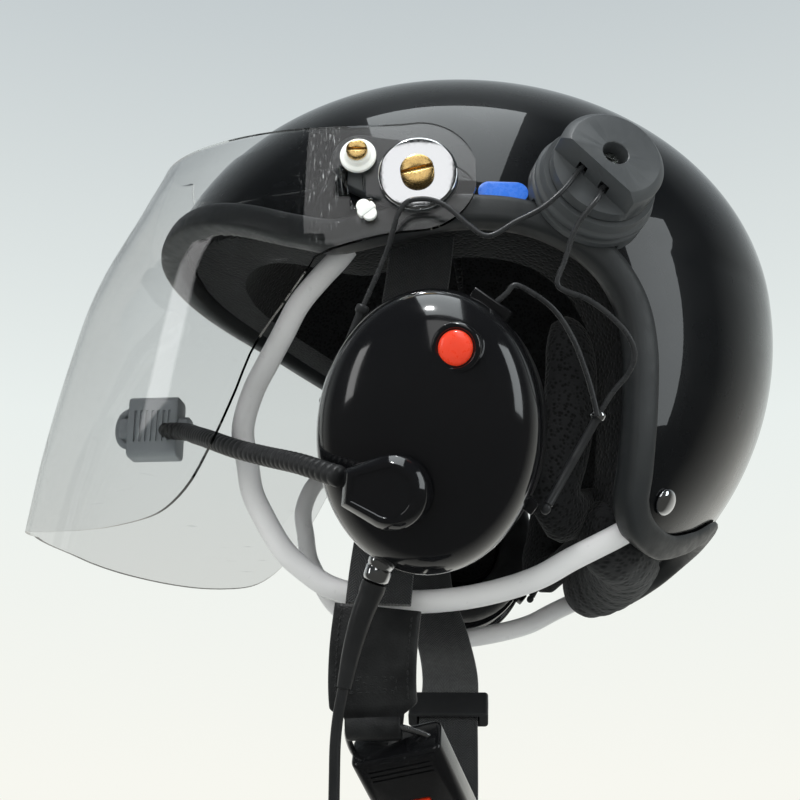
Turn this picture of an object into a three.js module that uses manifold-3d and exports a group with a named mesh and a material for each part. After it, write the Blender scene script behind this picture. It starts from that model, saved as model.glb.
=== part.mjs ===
// Paramotor helmet with a hinged visor, two sprung ear cups, a boom microphone and a chin strap.
// Millimetres, +Z up, the face looks along -Y and the wearer's left is +X.
// The origin is where the top of the head touches the padding.
import * as THREE from 'three';
import { mergeVertices } from 'three/addons/utils/BufferGeometryUtils.js';
import Module from 'manifold-3d';

const wasm = await Module();
wasm.setup();
const { Vector2, Vector3, Matrix4 } = THREE;

// General fits
const gap = 0.35;
const softGap = 0.8;
const overrun = 6;

// Shell, measured from the middle between the temples
const shellHalfWidth = 120;
const shellFront = 140;
const shellRear = 146;
const shellCrown = 116.5;
const shellWall = 3.6;
const tuckDepth = 120;
const tuckShares = { side: 0.4, front: 0.3, rear: 0.81 };
const equatorPower = 2;
const skirtPower = 2.5;

// Lower edge of the shell seen from the side, from the brow to the nape: shares of the reach
// to the front or rear, and of the brow's rise or the flap's drop
const browRise = 34;
const flapDrop = 115;
const edgeShares = [
  [-1.05, 1.1], [-0.83, 0.85], [-0.71, 0.69], [-0.565, 0.41], [-0.415, 0.1], [-0.285, -0.022],
  [-0.157, -0.009], [0.055, 0.11], [0.22, 0.07], [0.342, -0.035], [0.43, -0.122], [0.483, -0.243],
  [0.5, -0.383], [0.493, -0.574], [0.476, -0.783], [0.466, -0.895], [0.488, -0.972], [0.545, -1],
  [0.635, -0.957], [0.726, -0.878], [0.8, -0.82], [1.05, -0.626],
];

// Rubber trim pressed over the edge
const trimGap = 0.4;
const trimInnerGap = 2.6;
const trimLip = 2.5;
const trimInnerLip = 1.6;
const trimCover = 8.6;
const trimInnerCover = 7;
const trimFoot = 2.6;
const trimRoundShare = 0.6;

// Padding
const foamInset = 4.3;
const foamDepth = 24;
const foamSetBack = 11;
const linerDepth = 38;
const linerLipInset = 13.6;
const linerSetBack = 1.5;
const strapRoom = 2;
const rollInset = 28;
const rollNapeInset = 39;
const rollHalfWidth = 15;
const rollHalfHeight = 18;
const rollSideDrop = 108;
const rollNapeDrop = 106;
const rollSpreadShare = 0.56;

// Visor
const visorThickness = 2;
const visorHalfWidth = 124.2;
const visorCreaseBack = 46;
const visorPower = 1.8;
const visorTop = 41;
const visorFrontRise = 46;
const visorRiseTaperShare = 0.26;
const visorDropTaperShare = 0.2;
const visorReach = [
  // height, reach forward of the crease
  new Vector2(-95, 146), new Vector2(-60, 140), new Vector2(-25, 131.5), new Vector2(10, 120),
  new Vector2(40, 102), new Vector2(62, 91), new Vector2(90, 83),
];
const visorDrop = 104.5;
// Lower rim from the crease to the middle of the face: share of the quarter turn, share of the drop
const visorRimShares = [
  [0, 0.115], [0.067, 0.258], [0.133, 0.42], [0.167, 0.574], [0.211, 0.756], [0.256, 0.9],
  [0.3, 0.966], [0.333, 0.986], [0.411, 1], [0.489, 0.995], [0.622, 0.967], [0.722, 0.938],
  [0.811, 0.909], [1, 0.88],
];

// Visor pivot and its stop
const pivotBack = -7;
const pivotHeight = 19;
const armRadius = 22.5;
const armFootShare = 0.3;
const plateFace = 122.9;
const plateRadius = 15;
const pivotShank = 6;
const washerDiameter = 30.3;
const washerThickness = 1.7;
const screwHead = 12.8;
const screwHeadHeight = 2.6;
const screwSlot = 1.7;
const slotTurn = 0.22;
const stopRadius = 24;
const stopAngle = 160;
const stopTravel = 44;
const stopNeck = 5;
const stopKnob = 13.8;
const stopKnobHeight = 4.6;
const stopShank = 2.8;
const stopHead = 8;
const stopHeadHeight = 1.8;
const clipAngle = 217;
const clipLength = 7.6;
const clipWidth = 8;
const clipHeight = 2.2;

// Turret that carries the cup's wire
const turretShares = [0.9075, 0.4114, 0.1356];
const turretTiltShares = [0.93, 0.32, 0.17];
const turretRadius = 24;
const turretStep = 22.6;
const turretFlange = 7;
const turretHeight = 12;
const knobRadius = 20.5;
const knobShelf = 17;
const knobHeight = 27;
const knobChamfer = 3.2;
const knobFlat = 9.6;
const knobFlatAngle = 227.5;
const runOffset = 5.8;
const runHeight = 19.2;
const runHalfLength = 5.4;
const channelHalf = 2;
const recessRadius = 5;
const recessFloor = 19.8;
const turretShank = 3;
const turretHead = 8;
const turretHeadHeight = 2.6;

// Spring wires and their sleeves: stations are shares of the half width, the front and the crown
const wireDiameter = 2;
const sleeveDiameter = 3.2;
const ferruleDiameter = 5;
const ferruleHalf = 1.8;
const sleeveBall = 4.6;
const yokeFrontShares = [
  [1.121, 0.333, 0.051], [1.125, 0.275, -0.012], [1.121, 0.206, -0.054], [1.117, 0.134, -0.097],
  [1.112, 0.088, -0.058], [1.104, 0.032, 0.013], [1.1, -0.01, 0.042], [1.1, -0.047, 0.047],
  [1.1, -0.076, 0.038], [1.092, -0.1, 0.002], [1.075, -0.112, -0.035], [1.042, -0.135, -0.108],
  [1.003, -0.196, -0.265],
];
const yokeRearShares = [
  [1.121, 0.421, 0.019], [1.117, 0.363, -0.072], [1.1, 0.329, -0.18], [1.092, 0.309, -0.258],
  [1.067, 0.383, -0.296], [1.05, 0.43, -0.334], [1.033, 0.477, -0.391], [1.017, 0.497, -0.434],
  [1, 0.499, -0.474], [0.983, 0.481, -0.516], [0.967, 0.444, -0.565], [0.954, 0.412, -0.621],
];
const frontSleeveShares = [[1.0023, -0.197, -0.2677], [0.929, -0.309, -0.577]];
const rearSleeveShares = [[0.9538, 0.4107, -0.6236], [0.933, 0.256, -0.936]];
const bailShares = [
  [1.108, 0.146, -0.32], [1.117, 0.178, -0.29], [1.121, 0.197, -0.266], [1.108, 0.256, -0.299], [1.083, 0.302, -0.342],
  [1.05, 0.344, -0.419], [1.01, 0.373, -0.502], [0.991, 0.39, -0.575], [0.9817, 0.401, -0.646],
];

// Ear cup, measured from the middle of its rim
const cupMiddleShares = [1, -0.026, -0.688];
const cupYaw = 14;
const cupPitch = 16;
const cupLean = 10;
const cupHalfWidth = 41;
const cupHalfHeight = 51;
const cupDepth = 26;
const cupPower = 2.4;
const cupBand = 10;
const cupBandInset = 1.6;
const cupWall = 2.6;
const cupMouth = 22;
const cushionThickness = 16;
const cushionOuterInset = 2.4;
const cushionWidth = 17;
const speakerThickness = 7;
const buttonPlace = new Vector2(13.4, 29.5);
const bezelRadius = 8.8;
const bezelHeight = 2.2;
const buttonRadius = 6.2;
const buttonProud = 2.8;
const buttonStroke = 1.6;
const buttonPocket = 5;
const hingeBlock = new Vector3(16, 6, 5);
const hingeBlockPlace = new Vector2(17.2, 46);
const hingeBlockTurn = 30;
const lugLength = 9;
const lugWidth = 5;
const lugPlace = new Vector2(35.4, -21.9);

// Boom microphone on the left cup
const boomPlace = new Vector2(-2, -20);
const boomRadius = 12.6;
const boomHeight = 11.5;
const boomChamfer = 3;
const boomNose = 17;
const boomNoseHalf = 6.2;
const boomSeat = 24.8;
const boomSwing = 35;
const boomSwingSteps = 5;
const neckDiameter = 8;
const neckRibDepth = 0.45;
const neckRibs = 22;
const neckShares = [
  [1.155, -0.235, -0.865], [1.113, -0.278, -0.839], [1.025, -0.353, -0.789], [0.875, -0.468, -0.721],
  [0.767, -0.565, -0.665], [0.692, -0.623, -0.625], [0.583, -0.686, -0.574], [0.458, -0.75, -0.522],
  [0.375, -0.797, -0.485], [0.28, -0.888, -0.451],
];
const micShares = [0.25, -0.923, -0.437];
const micSize = new Vector3(14, 22, 27);
const micBar = new Vector3(10, 31, 9.5);
const micRounding = 3;

// Chin guard tube
const guardDiameter = 9.2;
const guardSides = 7;
const guardShares = [
  [0.83, -0.216, 0.11], [0.83, -0.273, -0.004], [0.825, -0.338, -0.092], [0.808, -0.398, -0.175],
  [0.787, -0.444, -0.274], [0.746, -0.49, -0.356], [0.679, -0.543, -0.442], [0.646, -0.573, -0.563],
  [0.629, -0.559, -0.678], [0.617, -0.544, -0.776], [0.608, -0.512, -0.857], [0.592, -0.451, -0.975],
  [0.571, -0.389, -1.041], [0.558, -0.329, -1.088], [0.558, -0.22, -1.125], [0.567, -0.104, -1.143],
  [0.567, 0.031, -1.135], [0.583, 0.153, -1.109], [0.608, 0.253, -1.073], [0.625, 0.339, -1.02],
  [0.642, 0.462, -0.95],
];

// Headset cable, in millimetres from the middle between the temples
const ringDiameter = 9.6;
const ringLength = 8.6;
const ringTop = new Vector3(107.6, -21.3, -123.4);
const ringFoot = new Vector3(105, -24.6, -131.9);
const bootDiameter = 9;
const cableDiameter = 4;
const cableSides = 8;
const bootRoute = [
  new Vector3(103, -29, -142.6), new Vector3(101.2, -32.7, -154.6), new Vector3(100, -35.5, -167.6),
];
const cableRoute = [
  new Vector3(99.4, -37.5, -177), new Vector3(99, -38.4, -186), new Vector3(98.6, -38.6, -198),
  new Vector3(98.5, -38.6, -214), new Vector3(98.5, -38.6, -230),
];
const coilTurns = 6;
const coilPitch = 4.7;
const coilMiddle = 23.5;
const coilStepsPerTurn = 20;
const coilSides = 6;
const coilTail = 12;
const tieWidth = 8;
const tieThickness = 1.2;
const plugDiameter = 9;
const plugLength = 24;
const plugTip = 3.5;
const plugTipLength = 14;
const plugNeck = 5.6;
const plugNeckLength = 9;

// Chin strap
const webWidth = 25;
const webThickness = 1.8;
const padWidth = 33;
const padThickness = 5;
const strapShares = [
  [0.84, -0.045, 0.085], [0.8, -0.06, -0.05], [0.74, -0.09, -0.25], [0.66, -0.125, -0.55],
  [0.6, -0.155, -0.85], [0.61, -0.178, -1.05], [0.648, -0.184, -1.162],
];
const padShares = [
  [0.652, -0.184, -1.172], [0.648, -0.196, -1.3], [0.632, -0.2, -1.42], [0.612, -0.196, -1.51],
];
const padRounding = 1.4;
const foldRadius = 3.2;
const foldTurn = 1.3 * Math.PI;
const foldWidthShare = 0.62;
const rightStrapShares = [
  [-0.56, -0.11, -0.92], [-0.42, -0.05, -1.16], [-0.2, -0.02, -1.33], [0, -0.02, -1.48],
  [0.09, -0.02, -1.64], [0.17, -0.022, -1.79], [0.24, -0.03, -1.876], [0.29, -0.042, -1.85],
  [0.32, -0.054, -1.81],
];
const buckleMiddleShares = [0.448, -0.09, -1.727];
const buckleRunShares = [-0.72, 0.28, -0.63];
const buckleLength = 50;
const buckleWidth = 35;
const buckleThickness = 15;
const buckleRounding = 3.5;
const leverLength = 22;
const leverWidth = 11;
const leverThickness = 3.4;
const leverProud = 1.4;
const leverMargin = 4;
const leverEndGap = 1.2;
const buckleMouth = 5.4;
const buckleMouthDepth = 10;
const buckleMouthOffset = 2.4;
const ringWire = 2.4;
const ringHalfWidth = 15;
const ringHead = 5;
const sliderSize = new Vector3(34, 15, 7);
const sliderStation = 6;
const rivetShares = [0.7, 0.589, -0.852];
const rivetHead = 10.6;
const rivetHeadHeight = 2.2;
const rivetShank = 4;

// Finishes
const finish = (color, roughness, metalness) => ({ color, roughness, metalness });
const finishes = {
  gloss: finish(0x0c0d0f, 0.08, 0),
  rubber: finish(0x2e3134, 0.75, 0),
  foam: finish(0x1c1c1e, 0.95, 0),
  cloth: finish(0x141416, 0.9, 0),
  visor: finish(0x16181b, 0.12, 0),
  plastic: finish(0x3a3c3f, 0.5, 0),
  brass: finish(0xd9b060, 0.3, 1),
  steel: finish(0xc8cacc, 0.25, 1),
  wire: finish(0x55585a, 0.4, 0.8),
  white: finish(0xe8e8e6, 0.5, 0),
  red: finish(0xe8402a, 0.35, 0),
  tube: finish(0xc4bcc0, 0.35, 0),
  leather: finish(0x1a1b1c, 0.6, 0),
};

// Solids and meshes

function weld(geometry) {
  const bare = geometry.clone();
  for (const name of Object.keys(bare.attributes)) {
    if (name !== 'position') bare.deleteAttribute(name);
  }
  const merged = mergeVertices(bare);
  const position = merged.attributes.position.array;
  const corners = [];
  let volume = 0;
  const at = (i) => new Vector3().fromArray(position, 3 * i);
  for (let i = 0; i < merged.index.count; i += 3) {
    const [a, b, c] = [0, 1, 2].map((k) => merged.index.getX(i + k));
    if (a === b || b === c || c === a) continue;
    corners.push([a, b, c]);
    volume += at(a).dot(at(b).cross(at(c)));
  }
  const facing = volume < 0 ? ([a, b, c]) => [a, c, b] : (corner) => corner;
  return { position: new Float32Array(position), index: new Uint32Array(corners.flatMap(facing)) };
}

function solid(geometry) {
  const { position, index } = weld(geometry);
  return new wasm.Manifold(new wasm.Mesh({ numProp: 3, vertProperties: position, triVerts: index }));
}

function geometryOf(manifold) {
  const mesh = manifold.getMesh();
  const geometry = new THREE.BufferGeometry();
  geometry.setAttribute('position', new THREE.BufferAttribute(new Float32Array(mesh.vertProperties), 3));
  geometry.setIndex(new THREE.BufferAttribute(new Uint32Array(mesh.triVerts), 1));
  return geometry;
}

const join = (first, ...others) => others.reduce((a, b) => a.add(b), first);
const cut = (first, ...others) => others.reduce((a, b) => a.subtract(b), first);
// The largest piece, once the offcuts have fallen away.
const largest = (manifold) => manifold.decompose().sort((a, b) => b.volume() - a.volume())[0];
const mirror = (manifold) => solid(geometryOf(manifold).scale(-1, 1, 1));

// A frame whose Z runs along an axis and whose X is as near as it can be to a side direction.
function frameAt(origin, axis, side) {
  const z = axis.clone().normalize();
  const y = z.clone().cross(side).normalize();
  const x = y.clone().cross(z);
  return new Matrix4().makeBasis(x, y, z).setPosition(origin);
}
const placed = (geometry, frame) => solid(geometry.clone().applyMatrix4(frame));

// A closed skin over rings of points; open ends are closed by fans round their middles.
function skin(rings, { looped = false, apex = null } = {}) {
  const sides = rings[0].length;
  const points = rings.flat();
  const index = [];
  const last = looped ? rings.length : rings.length - 1;
  for (let i = 0; i < last; i++) {
    const near = i * sides;
    const far = ((i + 1) % rings.length) * sides;
    for (let j = 0; j < sides; j++) {
      const k = (j + 1) % sides;
      index.push(near + j, near + k, far + k, near + j, far + k, far + j);
    }
  }
  if (!looped) {
    const middle = (ring) => ring.reduce((sum, p) => sum.add(p), new Vector3()).divideScalar(sides);
    const foot = points.push(middle(rings[0])) - 1;
    const head = points.push(apex ?? middle(rings.at(-1))) - 1;
    const top = (rings.length - 1) * sides;
    for (let j = 0; j < sides; j++) {
      const k = (j + 1) % sides;
      index.push(foot, k, j, head, top + j, top + k);
    }
  }
  const geometry = new THREE.BufferGeometry().setFromPoints(points);
  geometry.setIndex(index);
  return geometry;
}

// Frames carried along a route without twist.
function carriedFrames(points, side) {
  const count = points.length;
  const frames = [];
  let across = side.clone();
  for (let i = 0; i < count; i++) {
    const along = points[Math.min(i + 1, count - 1)].clone().sub(points[Math.max(i - 1, 0)]).normalize();
    across = across.clone().addScaledVector(along, -across.dot(along)).normalize();
    frames.push({ point: points[i], along, across, up: along.clone().cross(across) });
  }
  return frames;
}

// A section of (across, up) points carried along a route.
function swept(points, section, side, options) {
  const frames = carriedFrames(points, side);
  const rings = frames.map(({ point, across, up }, i) => section(i / (frames.length - 1)).map(
    (p) => point.clone().addScaledVector(across, p.x).addScaledVector(up, p.y),
  ));
  return skin(rings, options);
}

const circle = (radius, sides, turn = 0) => Array.from({ length: sides }, (_, i) => {
  const angle = turn + (i / sides) * 2 * Math.PI;
  return new Vector2(radius * Math.cos(angle), radius * Math.sin(angle));
});
const anySide = (points) => {
  const along = points[1].clone().sub(points[0]).normalize();
  return Math.abs(along.x) < Math.SQRT1_2 ? new Vector3(1, 0, 0) : new Vector3(0, 1, 0);
};
const tube = (points, radius, sides) => swept(points, () => circle(radius, sides), anySide(points));
const smooth = (points, count) => new THREE.CatmullRomCurve3(points, false, 'centripetal').getSpacedPoints(count);
const rectangle = (width, height) => [
  new Vector2(-width / 2, -height / 2), new Vector2(width / 2, -height / 2),
  new Vector2(width / 2, height / 2), new Vector2(-width / 2, height / 2),
];

// A turned piece: profile points are radius and height, the axis is Z.
function turned(profile, segments) {
  const points = profile.map(([radius, height]) => new Vector2(radius, height));
  return new THREE.LatheGeometry(points, segments).rotateX(Math.PI / 2);
}
const disc = (radius, foot, head, segments) => turned([[0, foot], [radius, foot], [radius, head], [0, head]], segments);
const box = (x, y, z) => new THREE.BoxGeometry(x, y, z);
const spot = ([x, y, z]) => new Vector3(x * shellHalfWidth, y * shellFront, z * shellCrown);
const spots = (shares) => shares.map(spot);
const degrees = THREE.MathUtils.degToRad;
const outward = new Vector3(1, 0, 0);
const rearward = new Vector3(0, 1, 0);
const upward = new Vector3(0, 0, 1);

// The shell's form

function halfSizes(z, inset = 0) {
  const side = shellHalfWidth - inset;
  const front = shellFront - inset;
  const rear = shellRear - inset;
  if (z >= 0) {
    const k = Math.sqrt(Math.max(1 - (z / (shellCrown - inset)) ** 2, 0));
    return { side: side * k, front: front * k, rear: rear * k, power: equatorPower };
  }
  const depth = -z / tuckDepth;
  const tuck = (share) => Math.sqrt(1 - (share * depth) ** 2);
  return {
    side: side * tuck(tuckShares.side),
    front: front * tuck(tuckShares.front),
    rear: rear * tuck(tuckShares.rear),
    power: equatorPower + (skirtPower - equatorPower) * Math.min(depth, 1),
  };
}

function planPoint(angle, z, inset = 0) {
  const half = halfSizes(z, inset);
  const c = Math.cos(angle);
  const s = Math.sin(angle);
  const x = half.side * Math.sign(c) * Math.abs(c) ** (2 / half.power);
  const y = (s < 0 ? half.front : half.rear) * Math.sign(s) * Math.abs(s) ** (2 / half.power);
  return new Vector3(x, y, z);
}

const reach = (y, z) => (y < 0 ? halfSizes(z).front : halfSizes(z).rear);

function surfaceX(y, z) {
  const half = halfSizes(z);
  return half.side * Math.max(1 - (Math.abs(y) / reach(y, z)) ** half.power, 0) ** (1 / half.power);
}

// Outward direction of the shell's surface at a point on it.
function surfaceNormal(point) {
  const value = (p) => {
    const half = halfSizes(p.z);
    return (Math.abs(p.x) / half.side) ** half.power + (Math.abs(p.y) / reach(p.y, p.z)) ** half.power;
  };
  const step = gap;
  const slope = (direction) => {
    const ahead = value(point.clone().addScaledVector(direction, step));
    return ahead - value(point.clone().addScaledVector(direction, -step));
  };
  return new Vector3(slope(outward), slope(rearward), slope(upward)).normalize();
}

const domeColumns = 28;
const linerColumns = 12;
const skirtRows = 5;
const crownRows = 5;
const domeFloor = -(flapDrop + overrun);

function dome(inset, floor = domeFloor, columns = domeColumns) {
  const crown = shellCrown - inset;
  const ringAt = (z) => Array.from({ length: columns }, (_, i) => planPoint((i / columns) * 2 * Math.PI, z, inset));
  const rings = [];
  for (let i = 0; i < skirtRows; i++) rings.push(ringAt(floor * (1 - i / skirtRows)));
  for (let i = 0; i < crownRows; i++) rings.push(ringAt(crown * Math.sin((Math.PI / 2) * (i / crownRows))));
  return solid(skin(rings, { apex: new Vector3(0, 0, crown) }));
}

const edgeSpline = new THREE.CatmullRomCurve3(edgeShares.map(([y, z]) => new Vector3(
  0,
  y * (y < 0 ? shellFront : shellRear),
  z * (z > 0 ? browRise : flapDrop),
)), false, 'centripetal');

// A line of plane points with each crossing loop cut off at its crossing.
function withoutLoops(points) {
  const crossing = (a, b, c, d) => {
    const ab = b.clone().sub(a);
    const cd = d.clone().sub(c);
    const turn = ab.cross(cd);
    if (turn === 0) return null;
    const ac = c.clone().sub(a);
    const s = ac.cross(cd) / turn;
    const t = ac.cross(ab) / turn;
    return s > 0 && s < 1 && t > 0 && t < 1 ? a.clone().addScaledVector(ab, s) : null;
  };
  for (let i = 0; i < points.length - 3; i++) {
    for (let j = points.length - 2; j > i + 1; j--) {
      const meet = crossing(points[i], points[i + 1], points[j], points[j + 1]);
      if (meet) return withoutLoops([...points.slice(0, i + 1), meet, ...points.slice(j + 1)]);
    }
  }
  return points;
}

// Everything above the edge curve set back by a distance.
function sideBlock(setBack) {
  const steps = 30;
  const base = edgeSpline.getPoints(steps);
  const moved = base.map((p, i) => {
    const along = edgeSpline.getTangent(i / steps);
    return new Vector2(p.y - along.z * setBack, p.z + along.y * setBack);
  });
  const kept = withoutLoops(moved);
  const top = shellCrown + overrun;
  const outline = [...kept, new Vector2(kept.at(-1).x, top), new Vector2(kept[0].x, top)];
  const width = 2 * (shellHalfWidth + overrun);
  const geometry = new THREE.ExtrudeGeometry(new THREE.Shape(outline), { depth: width, bevelEnabled: false });
  geometry.translate(0, 0, -width / 2);
  return placed(geometry, new Matrix4().makeBasis(rearward, upward, outward));
}

// The closed edge on the shell's surface, evenly walked but closer where it turns.
function edgeLoop() {
  const fine = 600;
  const beyond = (t) => {
    const p = edgeSpline.getPoint(t);
    return Math.abs(p.y) >= reach(p.y, p.z);
  };
  const crossing = (outside, inside) => {
    let [a, b] = [outside, inside];
    for (let i = 0; i < 40; i++) {
      const middle = (a + b) / 2;
      if (beyond(middle)) a = middle;
      else b = middle;
    }
    return b;
  };
  const start = crossing(0, 0.3);
  const end = crossing(1, 0.7);
  const dense = [];
  for (let i = 0; i <= fine; i++) {
    const p = edgeSpline.getPoint(start + (end - start) * (1 - Math.cos((Math.PI * i) / fine)) / 2);
    const x = i === 0 || i === fine ? 0 : surfaceX(p.y, p.z);
    dense.push(new Vector3(x, p.y, p.z));
  }
  const walked = [0];
  const longStep = 17;
  const turnStep = 0.5;
  for (let i = 1; i < dense.length; i++) {
    const step = dense[i].distanceTo(dense[i - 1]);
    const before = dense[i].clone().sub(dense[i - 1]);
    const after = dense[Math.min(i + 1, fine)].clone().sub(dense[i]);
    const turn = before.lengthSq() * after.lengthSq() > 0 ? before.angleTo(after) : 0;
    walked.push(walked[i - 1] + step / longStep + turn / turnStep);
  }
  const stations = Math.round(walked.at(-1));
  const half = [];
  for (let i = 0, j = 0; i <= stations; i++) {
    const target = (walked.at(-1) * i) / stations;
    while (j < walked.length - 2 && walked[j + 1] < target) j++;
    const share = (target - walked[j]) / (walked[j + 1] - walked[j]);
    half.push(dense[j].clone().lerp(dense[j + 1], Math.min(Math.max(share, 0), 1)));
  }
  const other = half.slice(1, -1).reverse().map((p) => new Vector3(-p.x, p.y, p.z));
  return [...half, ...other];
}

// A closed section, in outward and inward-from-edge distances, carried round the edge.
const edgePoints = edgeLoop();
function roundEdge(section) {
  const count = edgePoints.length;
  const rings = edgePoints.map((point, i) => {
    const along = edgePoints[(i + 1) % count].clone().sub(edgePoints[(i - 1 + count) % count]).normalize();
    const normal = surfaceNormal(point);
    const kept = normal.clone().cross(along).normalize();
    return section.map(([n, w]) => point.clone().addScaledVector(normal, n).addScaledVector(kept, w));
  });
  return solid(skin(rings, { looped: true }));
}

// Hardware shared by both sides

const slotCutter = (width, radius, depth, top) => solid(box(2 * radius + overrun, width, depth).translate(0, 0, top));

// A screw with a domed head and a straight slot: its seat is at height 0.
function slottedScrew(head, headHeight, shank, shankLength, slot, frame) {
  const profile = [
    [0, -shankLength], [shank / 2, -shankLength], [shank / 2, 0], [head / 2, 0],
    [head / 2, headHeight / 2], [head * 0.42, headHeight * 0.9], [0, headHeight],
  ];
  const body = cut(solid(turned(profile, 10)), slotCutter(slot, head / 2, headHeight, headHeight));
  return placed(geometryOf(body), frame);
}

const guardRoute = smooth(spots(guardShares), 22);
const guardTube = (clearance) => solid(tube(guardRoute, guardDiameter / 2 + clearance, guardSides));

const rivetPoint = (() => {
  const p = spot(rivetShares);
  return new Vector3(surfaceX(p.y, p.z), p.y, p.z);
})();
const rivetFrame = frameAt(rivetPoint, surfaceNormal(rivetPoint), upward);
const rivetBore = placed(disc(rivetShank / 2 + gap, -3 * shellWall, overrun, 8), rivetFrame);
const rivetPocket = placed(disc(rivetShank + gap, -2 * shellWall, 0, 8), rivetFrame);

// Shell and padding

function makeShell() {
  const body = cut(dome(0), dome(shellWall, domeFloor - overrun)).intersect(sideBlock(-trimFoot));
  const depth = shellWall + overrun;
  const below = roundEdge([[overrun, 0], [overrun, -2.5 * overrun], [-depth, -2.5 * overrun], [-depth, 0]]);
  return cut(largest(cut(body, below)), rivetBore, mirror(rivetBore));
}

// What the trim takes up outside the shell, with some room round it.
const trimRoom = () => roundEdge([
  [-shellWall, -overrun], [-shellWall, trimCover + gap], [trimGap + trimLip + gap, trimCover + gap],
  [trimGap + trimLip + gap, -overrun],
]);

function makeTrim() {
  const inner = -(shellWall + trimInnerGap);
  const foot = trimGap + trimFoot;
  return roundEdge([
    [trimGap, -trimGap], [trimGap, trimCover], [trimGap + trimLip, trimCover * trimRoundShare],
    [trimGap + trimLip, -foot * trimRoundShare], [inner, -foot], [inner - trimInnerLip, 0],
    [inner - trimInnerLip, trimInnerCover], [inner, -trimGap],
  ]);
}

// A band along a line, its width held as near as it can be to the front-to-rear direction.
function ribbon(points, section) {
  const count = points.length;
  const rings = points.map((point, i) => {
    const along = points[Math.min(i + 1, count - 1)].clone().sub(points[Math.max(i - 1, 0)]).normalize();
    const up = rearward.clone().addScaledVector(along, -rearward.dot(along)).normalize();
    const across = up.clone().cross(along);
    return section(i).map((p) => point.clone().addScaledVector(across, p.x).addScaledVector(up, p.y));
  });
  return solid(skin(rings));
}

const leftStrapLine = smooth(spots(strapShares), 12);
const rightStrapTop = spots(strapShares.slice(0, 4)).map((p) => new Vector3(-p.x, p.y, p.z));
const rightStrapLine = smooth([...rightStrapTop, ...spots(rightStrapShares)], 24);
const strapBody = (line, clearance) => ribbon(
  line, () => rectangle(webThickness + 2 * clearance, webWidth + 2 * clearance),
);

function rollBody(clearance) {
  const steps = 14;
  const spread = rollSpreadShare * (Math.PI / 2);
  const rings = [];
  for (let i = 0; i <= steps; i++) {
    const share = (2 * i) / steps - 1;
    const bulge = Math.sqrt(1 - (0.98 * share) ** 8);
    const angle = Math.PI / 2 + spread * share;
    const z = -(rollSideDrop + (rollNapeDrop - rollSideDrop) * Math.cos(share * (Math.PI / 2)));
    const inset = rollInset + (rollNapeInset - rollInset) * Math.cos(share * (Math.PI / 2));
    const middle = planPoint(angle, z, inset);
    const radial = new Vector3(Math.cos(angle), Math.sin(angle), 0);
    rings.push(circle(1, 10).map((p) => middle.clone()
      .addScaledVector(radial, p.x * (rollHalfWidth * bulge + clearance))
      .addScaledVector(upward, p.y * (rollHalfHeight * bulge + clearance))));
  }
  return solid(skin(rings));
}

function makePadding() {
  const tubes = [guardTube(softGap), mirror(guardTube(softGap))];
  const pockets = [rivetPocket, mirror(rivetPocket)];
  const straps = [strapBody(leftStrapLine, strapRoom), strapBody(rightStrapLine, strapRoom)];
  const below = domeFloor - overrun;
  const foam = cut(dome(foamInset, below), dome(foamDepth, below - overrun, linerColumns))
    .intersect(sideBlock(foamSetBack));
  const room = cut(sideBlock(foamSetBack - softGap), dome(foamDepth + gap, below - overrun, linerColumns));
  const lined = cut(dome(linerLipInset, domeFloor, linerColumns), dome(linerDepth, below, linerColumns));
  const liner = cut(lined.intersect(sideBlock(linerSetBack)), room);
  return {
    foam: largest(cut(foam, ...tubes, ...pockets, ...straps, rollBody(softGap))),
    liner: largest(cut(liner, ...tubes, ...straps, rollBody(softGap))),
    roll: largest(cut(rollBody(0), ...tubes)),
  };
}

// Visor

const reachCurve = (z) => {
  const table = visorReach;
  let i = 0;
  while (i < table.length - 2 && table[i + 1].x < z) i++;
  return THREE.MathUtils.mapLinear(z, table[i].x, table[i + 1].x, table[i].y, table[i + 1].y);
};
const rimHeight = (share) => {
  let i = 0;
  while (i < visorRimShares.length - 2 && visorRimShares[i + 1][0] < share) i++;
  const [[a, low], [b, high]] = [visorRimShares[i], visorRimShares[i + 1]];
  return -visorDrop * THREE.MathUtils.mapLinear(share, a, b, low, high);
};
const visorSide = (z) => visorHalfWidth
  - visorRiseTaperShare * Math.max(z - visorTop, 0)
  - visorDropTaperShare * Math.max(-z - visorTop / 12, 0);

const armColumns = 6;
function visorColumns() {
  const rows = 5;
  const armSteps = armColumns - 1;
  const faceSteps = 11;
  const columns = [];
  const pivotLow = pivotHeight - armRadius;
  for (let i = 0; i < armSteps; i++) {
    const turn = degrees(18 + (72 * i) / (armSteps - 1));
    const half = armRadius * Math.sin(turn);
    const y = pivotBack + armRadius * Math.cos(turn);
    columns.push(Array.from({ length: rows }, (_, k) => k).map((k) => new Vector3(visorHalfWidth, y, pivotHeight - half + (2 * half * k) / (rows - 1))));
  }
  const middle = (pivotBack - visorCreaseBack) / 2;
  const crease = rimHeight(0);
  for (const [y, low] of [[middle, pivotLow + (crease - pivotLow) * armFootShare]]) {
    columns.push(Array.from({ length: rows }, (_, k) => k).map((k) => new Vector3(visorHalfWidth, y, low + ((visorTop - low) * k) / (rows - 1))));
  }
  for (let i = 0; i <= faceSteps; i++) {
    const share = i / faceSteps;
    const angle = share * (Math.PI / 2);
    const low = rimHeight(share);
    const high = visorTop + visorFrontRise * share * share;
    columns.push(Array.from({ length: rows }, (_, k) => k).map((k) => {
      const z = low + ((high - low) * k) / (rows - 1);
      const x = visorSide(z) * Math.cos(angle) ** (2 / visorPower);
      return new Vector3(x, -visorCreaseBack - reachCurve(z) * Math.sin(angle) ** (2 / visorPower), z);
    }));
  }
  return columns;
}

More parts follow.
